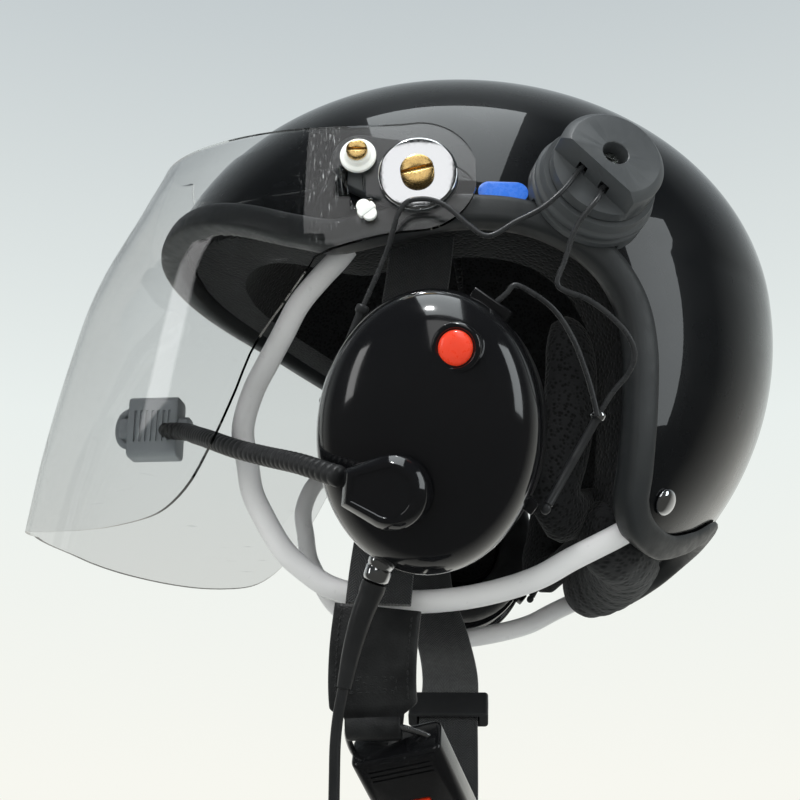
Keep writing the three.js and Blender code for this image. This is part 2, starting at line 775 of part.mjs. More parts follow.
function makeVisor() {
  const left = visorColumns();
  const right = left.slice(0, -1).reverse().map((column) => column.map((p) => new Vector3(-p.x, p.y, p.z)));
  const sheet = [...left, ...right];
  const count = sheet.length;
  const rings = sheet.map((column, i) => {
    const inner = [];
    const outer = [];
    column.forEach((p, k) => {
      const along = sheet[Math.min(i + 1, count - 1)][k].clone().sub(sheet[Math.max(i - 1, 0)][k]);
      const rise = column[Math.min(k + 1, column.length - 1)].clone().sub(column[Math.max(k - 1, 0)]);
      const normal = along.cross(rise).normalize();
      if (normal.dot(new Vector3(p.x, p.y + visorCreaseBack, 0)) < 0) normal.negate();
      if (i < armColumns || i >= count - armColumns) normal.set(Math.sign(p.x), 0, 0);
      outer.push(p.clone().addScaledVector(normal, visorThickness / 2));
      inner.push(p.clone().addScaledVector(normal, -visorThickness / 2));
    });
    return [...outer, ...inner.reverse()];
  });
  const body = solid(skin(rings));
  const hole = placed(disc(pivotShank / 2 + 2 * gap, -overrun, overrun, 10), pivotFrame(visorHalfWidth));
  const slot = placed(slotSector(stopNeck / 2 + gap), pivotFrame(visorHalfWidth));
  return cut(body, hole, slot, mirror(hole), mirror(slot));
}

// The pivot's frame: Z outward, X towards the rear, Y up.
const pivotFrame = (x) => frameAt(new Vector3(x, pivotBack, pivotHeight), outward, rearward);
const stopFrame = (x) => pivotFrame(x).multiply(new Matrix4().makeTranslation(
  stopRadius * Math.cos(degrees(stopAngle)), stopRadius * Math.sin(degrees(stopAngle)), 0,
));

// The curved slot that the stop's neck runs in, open for the whole travel of the visor.
function slotSector(half) {
  const from = degrees(stopAngle);
  const to = degrees(stopAngle + stopTravel);
  const shape = new THREE.Shape();
  shape.absarc(0, 0, stopRadius + half, from, to, false);
  shape.absarc(stopRadius * Math.cos(to), stopRadius * Math.sin(to), half, to, to + Math.PI, false);
  shape.absarc(0, 0, stopRadius - half, to, from, true);
  shape.absarc(stopRadius * Math.cos(from), stopRadius * Math.sin(from), half, from + Math.PI, from + 2 * Math.PI, false);
  const geometry = new THREE.ExtrudeGeometry(shape, { depth: 2 * overrun, bevelEnabled: false, curveSegments: 4 });
  return geometry.translate(0, 0, -overrun);
}

function makePivot() {
  const washerSeat = visorHalfWidth + visorThickness / 2 + gap;
  const stopAt = new Vector2(stopRadius * Math.cos(degrees(stopAngle)), stopRadius * Math.sin(degrees(stopAngle)));
  const turn = stopAt.angle();
  const plateShape = new THREE.Shape();
  plateShape.absarc(0, 0, plateRadius, turn + Math.PI / 2, turn + 1.5 * Math.PI, false);
  plateShape.absarc(stopAt.x, stopAt.y, plateRadius * 0.72, turn - Math.PI / 2, turn + Math.PI / 2, false);
  const plateDepth = 3 * overrun;
  const plateGeometry = new THREE.ExtrudeGeometry(plateShape, { depth: plateDepth, bevelEnabled: false, curveSegments: 5 });
  const plateBody = placed(plateGeometry.translate(0, 0, -plateDepth), pivotFrame(plateFace));
  const shankHole = placed(disc(pivotShank / 2 + gap, -overrun, overrun, 10), pivotFrame(plateFace));
  const stopHole = placed(disc(stopShank / 2 + gap, -2 * overrun, overrun, 8), stopFrame(plateFace));
  const washer = turned([
    [pivotShank / 2 + gap, 0], [washerDiameter / 2, 0], [washerDiameter / 2, washerThickness * 0.6],
    [washerDiameter / 2 - washerThickness * 0.6, washerThickness], [pivotShank / 2 + gap, washerThickness],
    [pivotShank / 2 + gap, 0],
  ], 12);
  const screwSeat = washerSeat + washerThickness + gap;
  const screwFrame = pivotFrame(screwSeat).multiply(new Matrix4().makeRotationZ(slotTurn));
  const pivotReach = screwSeat - plateFace + screwSlot;
  const neckFoot = plateFace + gap;
  const kneck = stopNeck / 2;
  const knobFoot = washerSeat - neckFoot;
  const bore = stopShank / 2 + gap;
  const knobTop = knobFoot + stopKnobHeight;
  const knob = turned([
    [bore, 0], [kneck, 0], [kneck, knobFoot], [stopKnob / 2, knobFoot],
    [stopKnob / 2, knobTop - stopKnobHeight * 0.6], [stopKnob * 0.38, knobTop - stopKnobHeight * 0.3],
    [stopKnob * 0.34, knobTop], [bore, knobTop], [bore, 0],
  ], 10);
  const stopSeat = neckFoot + knobTop + gap;
  const clipFrame = pivotFrame(washerSeat).multiply(new Matrix4().makeRotationZ(degrees(clipAngle)))
    .multiply(new Matrix4().makeTranslation(stopRadius, 0, clipHeight / 2));
  return {
    plate: largest(cut(plateBody, dome(-gap), shankHole, stopHole, trimRoom())),
    washer: placed(washer, pivotFrame(washerSeat)),
    screw: slottedScrew(screwHead, screwHeadHeight, pivotShank, pivotReach, screwSlot, screwFrame),
    knob: placed(knob, stopFrame(neckFoot)),
    stopScrew: slottedScrew(
      stopHead, stopHeadHeight, stopShank, stopSeat - plateFace + screwSlot, screwSlot * 0.8,
      stopFrame(stopSeat).multiply(new Matrix4().makeRotationZ(-slotTurn)),
    ),
    clip: placed(box(clipWidth, clipLength, clipHeight), clipFrame),
  };
}

// Turret

const turretAxis = new Vector3(...turretTiltShares).normalize();
const turretFlatSide = (() => {
  const frame = frameAt(new Vector3(), turretAxis, rearward);
  const side = new Vector3(Math.cos(degrees(knobFlatAngle)), Math.sin(degrees(knobFlatAngle)), 0);
  return side.transformDirection(frame);
})();
// Z along the turret's axis, X out of the flat, Y along the wire's run.
const turretFrame = frameAt(spot(turretShares), turretAxis, turretFlatSide);
const inTurret = (x, y, z) => new Vector3(x, y, z).applyMatrix4(turretFrame);

function makeTurret() {
  const bore = turretShank / 2 + gap;
  const base = turned([
    [0, -2 * overrun], [turretRadius, -2 * overrun], [turretRadius, turretFlange * 0.5],
    [turretRadius - 1, turretFlange * 0.6], [turretRadius - 1, turretFlange * 0.75],
    [turretRadius, turretFlange * 0.85], [turretRadius, turretFlange],
    [turretStep, turretFlange + 1], [turretStep, turretHeight], [bore, turretHeight], [bore, turretFlange * 0.5],
    [0, turretFlange * 0.5],
  ], 12);
  const foot = turretHeight + gap;
  const knob = turned([
    [bore, foot], [knobRadius, foot], [knobRadius, knobHeight - knobChamfer],
    [knobRadius - knobChamfer, knobHeight], [recessRadius, knobHeight], [recessRadius, recessFloor],
    [bore, recessFloor], [bore, foot],
  ], 12);
  const tall = 2 * knobHeight;
  const flat = box(knobRadius, 3 * knobRadius, tall).translate(knobFlat + knobRadius / 2, 0, knobShelf + tall / 2);
  const channel = box(2 * channelHalf, 2 * (runHalfLength + channelHalf), 2 * channelHalf)
    .translate(runOffset, 0, runHeight);
  const notch = (side) => solid(box(knobFlat, 2 * channelHalf, 2 * channelHalf)
    .translate(runOffset + knobFlat / 2, side * runHalfLength, runHeight));
  const knobBody = cut(solid(knob), solid(flat), solid(channel), notch(1), notch(-1));
  const headProfile = [
    [0, -(recessFloor - turretFlange * 0.6)], [turretShank / 2, -(recessFloor - turretFlange * 0.6)],
    [turretShank / 2, 0], [turretHead / 2, 0], [turretHead / 2, turretHeadHeight * 0.5],
    [turretHead * 0.3, turretHeadHeight], [0, turretHeadHeight],
  ];
  const blade = box(turretHead * 0.62, turretHead * 0.16, turretHeadHeight).translate(0, 0, turretHeadHeight);
  const screw = cut(solid(turned(headProfile, 10)), solid(blade), solid(blade.clone().rotateZ(Math.PI / 2)));
  return {
    base: largest(cut(placed(base, turretFrame), dome(-gap), trimRoom())),
    knob: placed(geometryOf(knobBody), turretFrame),
    screw: placed(geometryOf(screw).translate(0, 0, recessFloor + gap), turretFrame),
  };
}

// Wires

function makeWires() {
  const front = spots(yokeFrontShares).reverse();
  const rear = spots(yokeRearShares);
  const inside = [
    inTurret(knobFlat + 1, runHalfLength, runHeight), inTurret(runOffset + 0.8, runHalfLength, runHeight),
    inTurret(runOffset, runHalfLength - 0.8, runHeight), inTurret(runOffset, -runHalfLength + 0.8, runHeight),
    inTurret(runOffset + 0.8, -runHalfLength, runHeight), inTurret(knobFlat + 1, -runHalfLength, runHeight),
  ];
  const nearer = inside[0].distanceTo(front.at(-1)) < inside.at(-1).distanceTo(front.at(-1));
  const route = [...front, ...(nearer ? inside : inside.reverse()), ...rear];
  const yoke = solid(tube(route, wireDiameter / 2, 5));
  const sleeve = (shares, ferruleAt, ballAt) => {
    const [top, foot] = spots(shares);
    const along = foot.clone().sub(top);
    const length = along.length();
    const profile = [
      [0, 0], [ferruleDiameter * 0.4, 0], [ferruleDiameter / 2, ferruleHalf * 0.6],
      [ferruleDiameter / 2, ferruleHalf * 1.4], [sleeveDiameter / 2, 2 * ferruleHalf],
      [sleeveDiameter / 2, length - sleeveBall * ballAt], [sleeveBall * ballAt * 0.5 + sleeveDiameter * (1 - ballAt) / 2, length - sleeveBall * 0.5],
      [sleeveDiameter * 0.4, length], [0, length],
    ];
    return placed(turned(profile, 7), frameAt(top, along, rearward));
  };
  return {
    yoke,
    frontSleeve: sleeve(frontSleeveShares, 1, 1),
    rearSleeve: sleeve(rearSleeveShares, 1, 0.7),
    bail: solid(tube(smooth(spots(bailShares), 12), wireDiameter / 2, 5)),
  };
}

// Ear cup

const cupAxis = new Vector3(
  Math.cos(degrees(cupPitch)) * Math.cos(degrees(cupYaw)),
  -Math.cos(degrees(cupPitch)) * Math.sin(degrees(cupYaw)),
  -Math.sin(degrees(cupPitch)),
);
const cupFrame = (() => {
  const level = frameAt(spot(cupMiddleShares), cupAxis, upward.clone().cross(cupAxis));
  return level.multiply(new Matrix4().makeRotationZ(-degrees(cupLean)));
})();
const inCup = (x, y, z) => new Vector3(x, y, z).applyMatrix4(cupFrame);
const ellipse = (inset, z, columns) => circle(1, columns).map(
  (p) => new Vector3(p.x * (cupHalfWidth - inset), p.y * (cupHalfHeight - inset), z),
);
const cupColumns = 22;
const cavityColumns = 12;

function cupSolid(inset, foot) {
  const columns = inset > 0 ? cavityColumns : cupColumns;
  const rings = [ellipse(inset + cupBandInset, foot, columns)];
  const groove = cupBandInset * 0.6;
  for (const [share, step] of inset ? [] : [[0.6, 0], [0.5, 1], [0.3, 0]]) {
    rings.push(ellipse(inset + cupBandInset + step * groove, foot * share, columns));
  }
  rings.push(ellipse(inset + cupBandInset * (inset ? 1 : 0.9), foot * 0.14, columns));
  const rows = inset > 0 ? 4 : 7;
  const depth = cupDepth - inset;
  for (let i = 0; i < rows; i++) {
    const turn = (Math.PI / 2) * (i / rows);
    const scale = Math.cos(turn) ** (2 / cupPower);
    const height = depth * Math.sin(turn) ** (2 / cupPower);
    rings.push(ellipse(0, height, columns).map((p) => new Vector3(
      p.x * scale * (1 - inset / cupHalfWidth), p.y * scale * (1 - inset / cupHalfHeight), height,
    )));
  }
  return solid(skin(rings, { apex: new Vector3(0, 0, depth) }));
}

const cupRoom = () => cupSolid(-gap, -cupBand - gap);
const domeHeightAt = (place) => {
  const r = Math.hypot(place.x / cupHalfWidth, place.y / cupHalfHeight);
  return cupDepth * (1 - r ** cupPower) ** (1 / cupPower);
};

function makeCup(withButton) {
  const inner = cupSolid(cupWall, -cupBand + cupWall);
  const mouth = solid(disc(cupMouth + gap, -cupBand - overrun, 0, 16));
  const block = box(hingeBlock.x, hingeBlock.y, hingeBlock.z).rotateZ(-degrees(hingeBlockTurn))
    .translate(hingeBlockPlace.x, hingeBlockPlace.y, -cupBand * 0.5);
  const lug = box(lugLength, lugWidth, lugWidth).rotateZ(lugPlace.angle())
    .translate(lugPlace.x, lugPlace.y, -cupBand * 0.7);
  const bailEnd = smooth(spots(bailShares), 12).slice(0, 3);
  const bailBore = tube(bailEnd, wireDiameter / 2 + gap, 8).applyMatrix4(cupFrame.clone().invert());
  let body = cut(join(cupSolid(0, -cupBand), solid(block), solid(lug)), solid(bailBore));
  body = cut(body, inner, mouth);
  if (withButton) {
    const seat = domeHeightAt(buttonPlace);
    const bore = disc(buttonRadius + gap, seat - buttonPocket, seat + overrun, 24);
    body = cut(body, solid(bore.translate(buttonPlace.x, buttonPlace.y, 0)));
    const post = disc(boomRadius * 0.34, boomSeat - 2 * overrun, boomSeat + overrun, 18);
    body = cut(body, solid(post.translate(boomPlace.x, boomPlace.y, 0)));
  }
  return placed(geometryOf(body), cupFrame);
}

function makeCushion() {
  const top = -cupBand - gap;
  const columns = 18;
  const section = 9;
  const outer = cushionOuterInset;
  const rings = [];
  for (let i = 0; i < columns; i++) {
    const angle = (i / columns) * 2 * Math.PI;
    const c = Math.cos(angle);
    const s = Math.sin(angle);
    rings.push(circle(1, section).map((p) => {
      const round = (v, power) => Math.sign(v) * Math.abs(v) ** power;
      const across = round(p.x, 0.75) * (cushionWidth / 2) * (1 - 0.1 * Math.max(p.y, 0));
      const up = round(p.y, 0.8) * (cushionThickness / 2);
      const inset = outer + cushionWidth / 2 - across;
      return new Vector3((cupHalfWidth - inset) * c, (cupHalfHeight - inset) * s, top - cushionThickness / 2 + up);
    }));
  }
  return placed(skin(rings, { looped: true }), cupFrame);
}

function makeSpeaker() {
  const foot = -cupBand + gap;
  return placed(turned([
    [0, foot], [cupMouth * 0.7, foot], [cupMouth * 0.75, foot + 1], [cupMouth - gap, foot + 1],
    [cupMouth - gap, foot + speakerThickness * 0.5], [cupMouth * 0.6, foot + speakerThickness],
    [0, foot + speakerThickness],
  ], 16), cupFrame);
}

function makeButton() {
  const seat = domeHeightAt(buttonPlace);
  const at = (geometry, seated) => {
    const body = solid(geometry.translate(buttonPlace.x, buttonPlace.y, 0));
    return placed(geometryOf(seated ? cut(body, cupRoom()) : body), cupFrame);
  };
  const top = seat + bezelHeight;
  const bezel = turned([
    [buttonRadius + gap, seat - 1.5 * bezelHeight], [bezelRadius, seat - 1.5 * bezelHeight],
    [bezelRadius, top - bezelHeight * 0.4], [bezelRadius - bezelHeight * 0.5, top],
    [buttonRadius + gap, top - bezelHeight * 0.3], [buttonRadius + gap, seat - 1.5 * bezelHeight],
  ], 12);
  const foot = seat - buttonPocket + buttonStroke + gap;
  const head = seat + buttonProud;
  const cap = turned([
    [0, foot], [buttonRadius, foot], [buttonRadius, head - bezelHeight * 0.5],
    [buttonRadius * 0.8, head - bezelHeight * 0.1], [0, head],
  ], 12);
  return { bezel: at(bezel, true), cap: at(cap, false) };
}

// Boom and microphone

function makeBoom() {
  const outline = (inset) => {
    const points = [];
    const radius = boomRadius - inset;
    for (let i = 0; i <= 14; i++) {
      const angle = degrees(-118 + (236 * i) / 14);
      points.push(new Vector2(radius * Math.cos(angle), radius * Math.sin(angle)));
    }
    points.push(new Vector2(-boomNose + inset, boomNoseHalf - inset * 0.5));
    points.push(new Vector2(-boomNose + inset, -boomNoseHalf + inset * 0.5));
    return points;
  };
  const top = boomSeat + boomHeight;
  const levels = [[0, boomSeat - 2], [0, top - boomChamfer], [boomChamfer * 0.8, top]];
  const rings = levels.map(([inset, z]) => outline(inset).map((p) => new Vector3(
    p.x + boomPlace.x, p.y + boomPlace.y, z,
  )));
  const post = disc(boomRadius * 0.34 - gap, boomSeat - overrun * 1.4, boomSeat, 18).translate(boomPlace.x, boomPlace.y, 0);
  // The underside stays clear of the dome through the whole swing.
  let housing = solid(skin(rings));
  for (let i = 0; i <= boomSwingSteps; i++) {
    const turned = (boomSwing * i) / boomSwingSteps;
    const room = cupRoom().translate(-boomPlace.x, -boomPlace.y, 0).rotate(0, 0, -turned);
    housing = cut(housing, room.translate(boomPlace.x, boomPlace.y, 0));
  }
  return join(largest(housing), solid(post));
}

function roundedBlock(size) {
  const outline = new THREE.Shape();
  const [w, h] = [size.x / 2, size.z / 2];
  const r = micRounding;
  outline.absarc(w - r, h - r, r, 0, Math.PI / 2, false);
  outline.absarc(-w + r, h - r, r, Math.PI / 2, Math.PI, false);
  outline.absarc(-w + r, -h + r, r, Math.PI, 1.5 * Math.PI, false);
  outline.absarc(w - r, -h + r, r, 1.5 * Math.PI, 2 * Math.PI, false);
  const geometry = new THREE.ExtrudeGeometry(outline, { depth: size.y, bevelEnabled: false, curveSegments: 2 });
  return solid(geometry.translate(0, 0, -size.y / 2).rotateX(Math.PI / 2));
}

function makeBoomParts() {
  const steps = 2 * neckRibs;
  const line = smooth(spots(neckShares), steps);
  const radius = neckDiameter / 2;
  const ribbed = (share) => circle(radius - (Math.round(share * steps) % 2) * neckRibDepth, 8);
  const back = line[0].clone().addScaledVector(line[0].clone().sub(line[1]).normalize(), boomRadius);
  const socket = solid(tube([back, line[0], line[3]], radius + gap, 8));
  const mic = join(roundedBlock(micSize), roundedBlock(micBar));
  const micAt = spot(micShares);
  return {
    housing: cut(placed(geometryOf(makeBoom()), cupFrame), socket),
    neck: solid(swept(line, ribbed, upward)),
    mic: cut(solid(geometryOf(mic).translate(micAt.x, micAt.y, micAt.z)), solid(tube(line.slice(-8), radius + gap, 8))),
  };
}

// Cable

function makeCable() {
  const ringAxis = ringFoot.clone().sub(ringTop);
  const ringBody = placed(turned([
    [0, 0], [ringDiameter / 2, 0], [ringDiameter / 2, ringLength], [0, ringLength],
  ], 12), frameAt(ringTop, ringAxis, rearward));
  const ring = largest(cut(ringBody, placed(geometryOf(cupRoom()), cupFrame)));
  const bootStart = ringTop.clone().addScaledVector(ringAxis.clone().normalize(), ringLength + gap);
  const bootLead = bootStart.clone().addScaledVector(ringAxis.clone().normalize(), gap * 3);
  const bootLine = [bootStart, ...smooth([bootLead, ...bootRoute], 10)];
  const bootRadius = (share) => {
    const step = Math.floor(share * 3) / 3;
    return bootDiameter / 2 + (cableDiameter / 2 + 0.6 - bootDiameter / 2) * (0.5 * share + 0.5 * step);
  };
  const boot = solid(swept(bootLine, (share) => circle(bootRadius(share), 8), upward.clone().cross(rearward)));
  const last = bootRoute.at(-1);
  const away = cableRoute[0].clone().sub(last).normalize();
  const cableStart = last.clone().addScaledVector(away, gap);
  const cableCurve = new THREE.CatmullRomCurve3([cableStart, ...cableRoute], false, 'centripetal');
  const cableShape = new THREE.Shape(circle(cableDiameter / 2, cableSides));
  const cable = solid(new THREE.ExtrudeGeometry(cableShape, { steps: 9, bevelEnabled: false, extrudePath: cableCurve }));
  return { ring, boot, cable };
}

// Two layers of turns: in on the first, a climb in the half turn at the middle, out on the second.
const coilCentre = cableRoute.at(-1).clone().add(new Vector3(
  0, coilMiddle + (coilPitch * coilTurns) / 4 - coilPitch / 4, -(gap + cableDiameter + overrun),
));
function coilPoints() {
  const half = coilTurns / 2;
  const outerRadius = coilMiddle + (coilPitch * half) / 2 - coilPitch / 4;
  const steps = coilTurns * coilStepsPerTurn;
  const points = [];
  for (let i = 0; i <= steps; i++) {
    const turn = (i / steps) * coilTurns;
    const radius = outerRadius - coilPitch * Math.min(turn, coilTurns - turn);
    const climb = THREE.MathUtils.smoothstep(turn, half - 0.25, half + 0.25);
    const angle = Math.PI + 2 * Math.PI * turn;
    points.push(new Vector3(
      -climb * coilPitch, radius * Math.cos(angle), radius * Math.sin(angle),
    ).add(coilCentre));
  }
  const entry = points[0].clone().addScaledVector(upward, cableDiameter + overrun);
  const exit = points.at(-1).clone().addScaledVector(upward, -coilTail);
  return [entry, entry.clone().lerp(points[0], 0.5), ...points, points.at(-1).clone().lerp(exit, 0.5), exit];
}

function leastGap(points, diameter) {
  let least = Infinity;
  const apart = Math.ceil(coilStepsPerTurn / 2);
  for (let i = 0; i < points.length; i++) {
    for (let j = i + apart; j < points.length; j++) least = Math.min(least, points[i].distanceTo(points[j]));
  }
  return least - diameter;
}

function makeCoil() {
  const line = coilPoints();
  console.log('coil: least gap ' + leastGap(line, cableDiameter).toFixed(2) + ' mm, length '
    + new THREE.CatmullRomCurve3(line).getLength().toFixed(0) + ' mm');
  const coil = solid(tube(line, cableDiameter / 2, coilSides));
  const half = coilTurns / 2;
  const band = coilPitch * (half - 0.5) / 2 + cableDiameter / 2 + 2 * gap;
  const layers = coilPitch / 2 + cableDiameter / 2 + gap;
  const frame = (x, y) => {
    const outer = new THREE.Shape(rectangle(2 * (layers + tieThickness), 2 * (band + 1 + tieThickness)));
    outer.holes.push(new THREE.Path(rectangle(2 * layers, 2 * (band + 1))));
    return outer;
  };
  const tie = new THREE.ExtrudeGeometry(frame(), { depth: tieWidth, bevelEnabled: false });
  const tieFrame = new Matrix4().makeBasis(outward, upward, rearward.clone().negate());
  tieFrame.setPosition(coilCentre.clone().add(new Vector3(-coilPitch / 2, tieWidth / 2, coilMiddle - coilPitch * 0.12)));
  const exit = line.at(-1);
  const plug = turned([
    [0, 0], [plugNeck / 2, 0], [plugNeck / 2, plugNeckLength * 0.8], [plugDiameter / 2, plugNeckLength],
    [plugDiameter / 2, plugNeckLength + plugLength], [plugTip / 2, plugNeckLength + plugLength + 0.6],
    [plugTip / 2, plugNeckLength + plugLength + plugTipLength * 0.8],
    [plugTip * 0.3, plugNeckLength + plugLength + plugTipLength], [0, plugNeckLength + plugLength + plugTipLength],
  ], 10);
  const down = upward.clone().negate();
  return { coil, tie: placed(tie, tieFrame), plug: placed(plug, frameAt(exit.clone().addScaledVector(down, gap), down, rearward)) };
}

// Chin strap

function makePad(bar) {
  const line = smooth(spots(padShares), 8);
  const last = line.length - 1;
  const run = line[last].clone().sub(line[last - 1]).normalize();
  const out = rearward.clone().cross(run).normalize();
  const radius = foldRadius + webThickness / 2;
  const foldSteps = 8;
  for (let i = 1; i <= foldSteps; i++) {
    const angle = (foldTurn * i) / foldSteps;
    line.push(bar.clone().addScaledVector(out, radius * Math.cos(angle)).addScaledVector(run, radius * Math.sin(angle)));
  }
  return ribbon(line, (i) => {
    const half = (i > last - 1 ? webThickness : padThickness) / 2;
    const side = ((i > last ? foldWidthShare : 1) * padWidth) / 2;
    const edge = side - padRounding;
    return [
      new Vector2(-half, -edge), new Vector2(0, -side), new Vector2(half, -edge), new Vector2(half, edge),
      new Vector2(0, side), new Vector2(-half, edge),
    ];
  });
}

// The buckle's frame: Z along the strap, X across it.
const buckleFrame = frameAt(spot(buckleMiddleShares), new Vector3(...buckleRunShares), rearward);
const inBuckle = (x, y, z) => new Vector3(x, y, z).applyMatrix4(buckleFrame);

// The bar that the pad's fold turns round.
const foldBar = (() => {
  const line = smooth(spots(padShares), 8);
  const run = line.at(-1).clone().sub(line.at(-2)).normalize();
  const out = rearward.clone().cross(run).normalize();
  return line.at(-1).clone().addScaledVector(run, foldRadius).addScaledVector(out, -foldRadius - webThickness / 2);
})();

function ringBody(radius) {
  const corners = [
    foldBar.clone().addScaledVector(rearward, -ringHalfWidth * foldWidthShare),
    foldBar.clone().addScaledVector(rearward, ringHalfWidth * foldWidthShare),
    inBuckle(ringHalfWidth, 0, ringHead - buckleLength / 2), inBuckle(-ringHalfWidth, 0, ringHead - buckleLength / 2),
  ];
  const tension = 0.35;
  const loop = new THREE.CatmullRomCurve3(corners, true, 'catmullrom', tension).getSpacedPoints(14).slice(0, -1);
  const normal = corners[1].clone().sub(corners[0]).cross(corners[2].clone().sub(corners[1])).normalize();
  const rings = loop.map((p, i) => {
    const along = loop[(i + 1) % loop.length].clone().sub(loop.at(i - 1)).normalize();
    const inPlane = along.clone().cross(normal).normalize();
    const up = inPlane.clone().cross(along);
    return circle(radius, 6).map((q) => p.clone().addScaledVector(inPlane, q.x).addScaledVector(up, q.y));
  });
  return solid(skin(rings, { looped: true }));
}

function makeBuckle() {
  const outline = new THREE.Shape();
  const [w, t, r] = [buckleWidth / 2, buckleThickness / 2, buckleRounding];
  outline.absarc(w - r, t - r, r, 0, Math.PI / 2, false);
  outline.absarc(-w + r, t - r, r, Math.PI / 2, Math.PI, false);
  outline.absarc(-w + r, -t + r, r, Math.PI, 1.5 * Math.PI, false);
  outline.absarc(w - r, -t + r, r, 1.5 * Math.PI, 2 * Math.PI, false);
  const block = new THREE.ExtrudeGeometry(outline, { depth: buckleLength, bevelEnabled: false, curveSegments: 3 });
  block.translate(0, 0, -buckleLength / 2);
  const leverFrame = buckleFrame.clone().multiply(new Matrix4().makeTranslation(
    0, buckleThickness / 2 - leverThickness / 2 + leverProud, buckleLength / 2 - leverLength / 2 - leverMargin,
  ));
  const pocketDepth = leverThickness + 2 * (gap + leverProud);
  const pocket = placed(box(leverWidth + 2 * gap, pocketDepth, leverLength + 2 * leverEndGap), leverFrame);
  const mouth = placed(
    box(webWidth + 2 * softGap, buckleMouth, 2 * buckleMouthDepth).translate(0, -buckleMouthOffset, buckleLength / 2),
    buckleFrame,
  );
  return {
    body: cut(placed(block, buckleFrame), ringBody(ringWire / 2 + gap), pocket, mouth),
    lever: placed(box(leverWidth, leverThickness, leverLength), leverFrame),
  };
}

function makeSlider() {
  const at = rightStrapLine.length - 1 - sliderStation;
  const frame = frameAt(
    rightStrapLine[at], rightStrapLine[at + 1].clone().sub(rightStrapLine[at - 1]), rearward,
  );
  const hole = box(webWidth + 2 * softGap, webThickness + 3 * softGap, 2 * sliderSize.y);
  return cut(placed(box(sliderSize.x, sliderSize.z, sliderSize.y), frame), placed(hole, frame));
}

function makeStrap() {
  return {
    left: strapBody(leftStrapLine, 0),
    right: strapBody(rightStrapLine, 0),
    pad: cut(makePad(foldBar), ringBody(ringWire / 2 + gap)),
    ring: ringBody(ringWire / 2),
    slider: makeSlider(),
    ...makeBuckle(),
  };
}

function makeRivet() {
  return placed(turned([
    [0, -shellWall - 1], [rivetShank / 2, -shellWall - 1], [rivetShank / 2, gap], [rivetHead / 2, gap],
    [rivetHead / 2, gap + rivetHeadHeight * 0.4], [rivetHead * 0.36, gap + rivetHeadHeight * 0.85],
    [0, gap + rivetHeadHeight],
  ], 12), rivetFrame);
}

// Assembly

const helmet = new THREE.Group();
helmet.position.set(0, 0, -(shellCrown - linerDepth));

function add(name, body, look) {
  const mesh = new THREE.Mesh(geometryOf(body), new THREE.MeshStandardMaterial(finishes[look]));
  mesh.name = name;
  helmet.add(mesh);
}
function addPair(name, body, look) {
  add(name + '_left', body, look);
  add(name + '_right', mirror(body), look);
}

const padding = makePadding();
const pivot = makePivot();
const turret = makeTurret();
const wires = makeWires();
const button = makeButton();
const boom = makeBoomParts();
const cable = makeCable();
const coil = makeCoil();
const strap = makeStrap();

add('outer_shell', makeShell(), 'gloss');
add('edge_trim', makeTrim(), 'rubber');
add('eps_liner', padding.foam, 'foam');
add('comfort_liner', padding.liner, 'cloth');
add('neck_roll', padding.roll, 'cloth');
add('visor', makeVisor(), 'visor');
addPair('pivot_plate', pivot.plate, 'plastic');
addPair('pivot_washer', pivot.washer, 'plastic');
addPair('pivot_screw', pivot.screw, 'brass');
addPair('stop_knob', pivot.knob, 'plastic');
addPair('stop_screw', pivot.stopScrew, 'brass');
addPair('slot_clip', pivot.clip, 'white');
addPair('turret_base', turret.base, 'plastic');
addPair('turret_knob', turret.knob, 'plastic');
addPair('turret_screw', turret.screw, 'steel');
addPair('yoke_wire', wires.yoke, 'wire');
addPair('front_sleeve', wires.frontSleeve, 'rubber');
addPair('rear_sleeve', wires.rearSleeve, 'rubber');
addPair('cup_bail', wires.bail, 'wire');
add('cup_shell_left', makeCup(true), 'gloss');
add('cup_shell_right', mirror(makeCup(false)), 'gloss');
addPair('cup_cushion', makeCushion(), 'leather');
addPair('speaker', makeSpeaker(), 'plastic');
add('ptt_bezel', button.bezel, 'plastic');
add('ptt_button', button.cap, 'red');
add('boom_housing', boom.housing, 'plastic');
add('boom_gooseneck', boom.neck, 'rubber');
add('microphone', boom.mic, 'plastic');
add('cable_ring', cable.ring, 'steel');
add('cable_boot', cable.boot, 'rubber');
add('headset_cable', cable.cable, 'rubber');
add('cable_coil', coil.coil, 'rubber');
add('coil_tie', coil.tie, 'rubber');
add('cable_plug', coil.plug, 'steel');
addPair('chin_guard', guardTube(0), 'tube');
add('strap_left', strap.left, 'cloth');
add('strap_pad', strap.pad, 'leather');
add('strap_right', strap.right, 'cloth');
add('buckle_body', strap.body, 'plastic');
add('buckle_lever', strap.lever, 'red');
add('strap_ring', strap.ring, 'steel');
add('strap_slider', strap.slider, 'plastic');
addPair('strap_rivet', makeRivet(), 'steel');

const root = new THREE.Group();
root.add(helmet);
export default root;
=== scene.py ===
# %% [markdown]
# A paramotor helmet in Blender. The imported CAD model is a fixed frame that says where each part
# sits and which body it moves with. The CAD solids could be shown as they are, but they are plain
# and faceted. So this script dresses the frame: it draws every visible part again in the same place,
# with smooth surfaces, and gives each one a finish made from shader nodes.

# %% Load the frame
import math

import bmesh
import bpy
import numpy as np
from mathutils import Matrix, Vector


